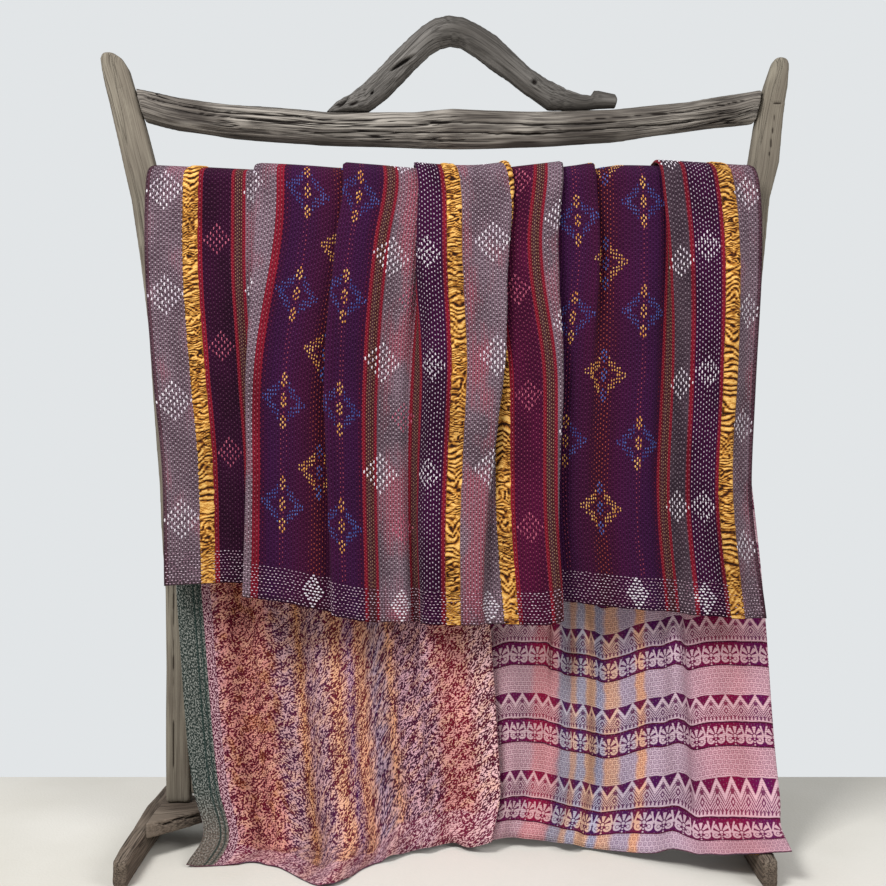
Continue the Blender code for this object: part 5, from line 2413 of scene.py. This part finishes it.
POST_WOOD = WoodFinish(
    "post_wood", sheen=0.0, mid="7c7468", dark="665e54", crack="37302a", checks=0.35,
    depth=0.0008
)
YOKE_WOOD = WoodFinish(
    "yoke_wood", sheen=0.0, light="a49d94", mid="6a635c", dark="3e3936", crack="1a1513",
    depth=0.0024
)
BRANCH_WOOD = WoodFinish(
    "branch_wood", sheen=0.0, light="787470", mid="524e4a", dark="3c3936", crack="1c1816", checks=0.2,
    depth=0.0008
)
FOOT_WOOD = WoodFinish(
    "foot_wood", sheen=0.0, light="86796c", mid="665a50", dark="463d36", crack="1c1714", checks=0.6
)
PLAIN_WOOD = WoodFinish(
    "plain_wood", sheen=0.0, light="8c8478", mid="6c645c", along=""
)

THREADS = {
    Thread.WHITE: ThreadFinish("white_thread", thread="fbf5fa", dull="e0d4e0"),
    Thread.PINK: ThreadFinish("pink_thread", thread="cf6e86", dull="a44a64"),
    Thread.BLUE: ThreadFinish("blue_thread", thread="566eb4", dull="34468c"),
    Thread.YELLOW: ThreadFinish("yellow_thread", thread="f6c070", dull="dc9440"),
    Thread.DARK: ThreadFinish("dark_thread", thread="4a2030", dull="2c121c"),
    Thread.PALE: ThreadFinish("pale_thread", thread="e4d0dc", dull="b08c9e")
}

BRANCH_OUTLINE = Outline(
    upper=(
        (-0.231, 1.4125), (-0.211, 1.434), (-0.186, 1.447), (-0.162, 1.466), (-0.135, 1.492),
        (-0.104, 1.525), (-0.072, 1.556), (-0.045, 1.579), (-0.019, 1.594), (0.008, 1.599),
        (0.035, 1.5955), (0.0665, 1.582), (0.098, 1.563), (0.134, 1.53), (0.165, 1.5),
        (0.201, 1.4755), (0.2365, 1.4555), (0.263, 1.446), (0.2835, 1.4435), (0.2905, 1.453),
        (0.298, 1.453), (0.333, 1.446), (0.338, 1.444)
    ),
    lower=(
        (-0.231, 1.4105), (-0.148, 1.4115), (-0.117, 1.433), (-0.086, 1.464), (-0.059, 1.4935),
        (-0.032, 1.52), (-0.01, 1.534), (0.0125, 1.539), (0.031, 1.535), (0.0575, 1.518),
        (0.089, 1.4935), (0.12, 1.4725), (0.156, 1.4455), (0.183, 1.4265), (0.201, 1.4145),
        (0.2545, 1.4145), (0.338, 1.4185)
    )
)


def driftwood() -> tuple[Driftwood, ...]:
    """The wooden parts of the rack, each with its own wear.

    Returns:
        One entry a part.
    """
    tilt = math.radians(45)
    return (
        Driftwood(
            "post_left", Along.Z, lumps=0.0011, ridges=0.00025, seed=21,
            splits=(Split(0.12, 0.62, -0.35, 0.0012, 0.002),),
            dents=(Dent(-0.629, 1.456, 0.008, 0.0016, 0.1, 0.002, 0.7),), look=POST_WOOD
        ),
        Driftwood(
            "post_right", Along.Z, lumps=0.0011, ridges=0.00025, seed=31,
            splits=(Split(1.3, 1.42, 0.3, 0.001, 0.002),),
            dents=(Dent(0.643, 1.426, 0.014, 0.0017, -0.15, 0.004, 1.0),), look=POST_WOOD
        ),
        Driftwood(
            "yoke", Along.X, lumps=0.0016, ridges=0.0011, seed=41,
            splits=(
                Split(-0.6, -0.12, 0.45, 0.0022, 0.006), Split(-0.5, 0.05, 0.1, 0.0018, 0.005),
                Split(-0.05, 0.35, 0.15, 0.0022, 0.006), Split(-0.3, 0.2, -0.45, 0.0016, 0.004),
                Split(0.1, 0.5, -0.5, 0.0018, 0.005), Split(0.25, 0.6, 0.35, 0.0014, 0.003)
            ),
            look=YOKE_WOOD
        ),
        Driftwood(
            "handle_branch", Along.X, lumps=0.0016, ridges=0.00025, seed=51,
            splits=(Split(-0.235, -0.17, 0.35, 0.002, 0.005),),
            dents=(
                Dent(-0.085, 1.499, 0.027, 0.0042, tilt * 0.7, 0.009, 0.95),
                Dent(-0.088, 1.489, 0.026, 0.0072, tilt * 0.7, 0.004, 0.0),
                Dent(-0.155, 1.446, 0.03, 0.004, tilt * 0.8, 0.003, 0.25),
                Dent(-0.2, 1.427, 0.014, 0.005, tilt * 0.9, 0.007, 0.9),
                Dent(-0.178, 1.423, 0.01, 0.0035, 0.3, 0.005, 0.9),
                Dent(0.004, 1.585, 0.012, 0.003, -0.9, 0.003, 0.5),
                Dent(-0.1406, 1.443, 0.0045, 0.0028, tilt, 0.006, 1.0),
                Dent(0.173, 1.464, 0.0062, 0.0062, 0.0, 0.004, 0.9)
            ),
            outline=BRANCH_OUTLINE, look=BRANCH_WOOD
        ),
        Driftwood(
            "stretcher", Along.X, ridges=0.0006, seed=61,
            splits=(Split(-0.55, 0.3, 0.1, 0.0018, 0.005),), look=FOOT_WOOD
        ),
        Driftwood("foot_left", Along.Y, ridges=0.0006, seed=71, look=FOOT_WOOD),
        Driftwood("foot_right", Along.Y, ridges=0.0006, seed=81, look=FOOT_WOOD),
        Driftwood("doubler_left", Along.Z, ridges=0.0003, seed=91, look=POST_WOOD),
        Driftwood("doubler_right", Along.Z, ridges=0.0003, seed=101, look=POST_WOOD)
    )


PRINT_BASE = SmoothCurve(
    (0.745, 0.88, 1.0, 1.11, 1.165, 1.22, 1.3, 1.36, 1.47),
    (0.129, 0.128, 0.126, 0.118, 0.125, 0.148, 0.165, 0.188, 0.203)
)
# The most rows of the banded print between its lowest line of teeth and the hem
HEM_ROW = 0.877


def map_print(quilt: Object, cloth: QuiltCloth) -> None:
    """Adds the map of the banded print: place across, and rows counted up from the hem.

    Args:
        quilt: The quilt's object.
        cloth: The quilt's cloth.
    """
    flat = np.empty(len(quilt.data.loops) * 2)
    quilt.data.uv_layers[SHEET_MAP].data.foreach_get("uv", flat)
    flat = flat.reshape(-1, 2)
    high = cloth.shape.length - flat[:, 1]
    base = PRINT_BASE(flat[:, 0])
    rows = (base - high) / BANDS.repeat
    lowest = np.minimum(base, HEM_ROW * BANDS.repeat)
    rows = np.where(rows > 0, rows * lowest / base, rows)
    layer = quilt.data.uv_layers.new(name=PRINT_MAP)
    layer.data.foreach_set("uv", np.column_stack((flat[:, 0], rows)).ravel())


def write_sizes(sizes: dict, label: str) -> None:
    """Args:
        sizes: Bounds noted so far, by label.
        label: Name of this entry.
    """
    low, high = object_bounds()
    sizes[label] = [[float(x) for x in low], [float(x) for x in high]]


def main() -> None:
    """Builds the quilt, the rack and the studio."""
    logging.basicConfig(level=logging.INFO, format="%(message)s")
    sizes: dict = {}
    write_sizes(sizes, "frame")
    effects = Effects()
    looks = {kind.value: finish.make(effects) for kind, finish in GROUNDS.items()}
    looks["border"] = BorderFinish("green_border").make(effects)
    looks["speckle"] = SPECKLE.make(effects)
    looks["bands"] = BANDS.make(effects)
    looks["rim"] = RimFinish("turned_edge").make(effects)
    cloth = QuiltCloth()
    quilt = cloth.build(looks)
    map_print(quilt, cloth)
    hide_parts("quilt")
    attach(quilt, "root")
    LOG.info("quilt: %d faces", len(quilt.data.polygons))
    ribbons = GoldRibbons(cloth).build(RibbonFinish("gold_ribbon").make(effects))
    threads = {thread: finish.make(effects) for thread, finish in THREADS.items()}
    sewn = Stitching(cloth)
    pattern = Embroidery(cloth)
    pattern.motifs(sewn)
    pattern.hems(sewn)
    pattern.edges(sewn)
    extras = [ribbons] + sewn.build(threads, "stitches")
    for piece in extras:
        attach(piece, "root")
        LOG.info("%s: %d faces", piece.name, len(piece.data.polygons))
    looks_of_wood: dict = {}
    for part in driftwood():
        if part.look.name not in looks_of_wood:
            looks_of_wood[part.look.name] = part.look.make(effects)
        piece = part.build(frame["nodes"], looks_of_wood[part.look.name])
        LOG.info("%s: %d faces", piece.name, len(piece.data.polygons))
    plain = PLAIN_WOOD.make(effects)
    for name in ("rail", "cleat_left", "cleat_right"):
        node = frame["nodes"][name]
        node.data.materials.clear()
        node.data.materials.append(plain)
    Studio().build(FloorFinish("pale_floor", sheen=0.0).make(effects))
    write_sizes(sizes, "scene")


if __name__ == "__main__":
    main()
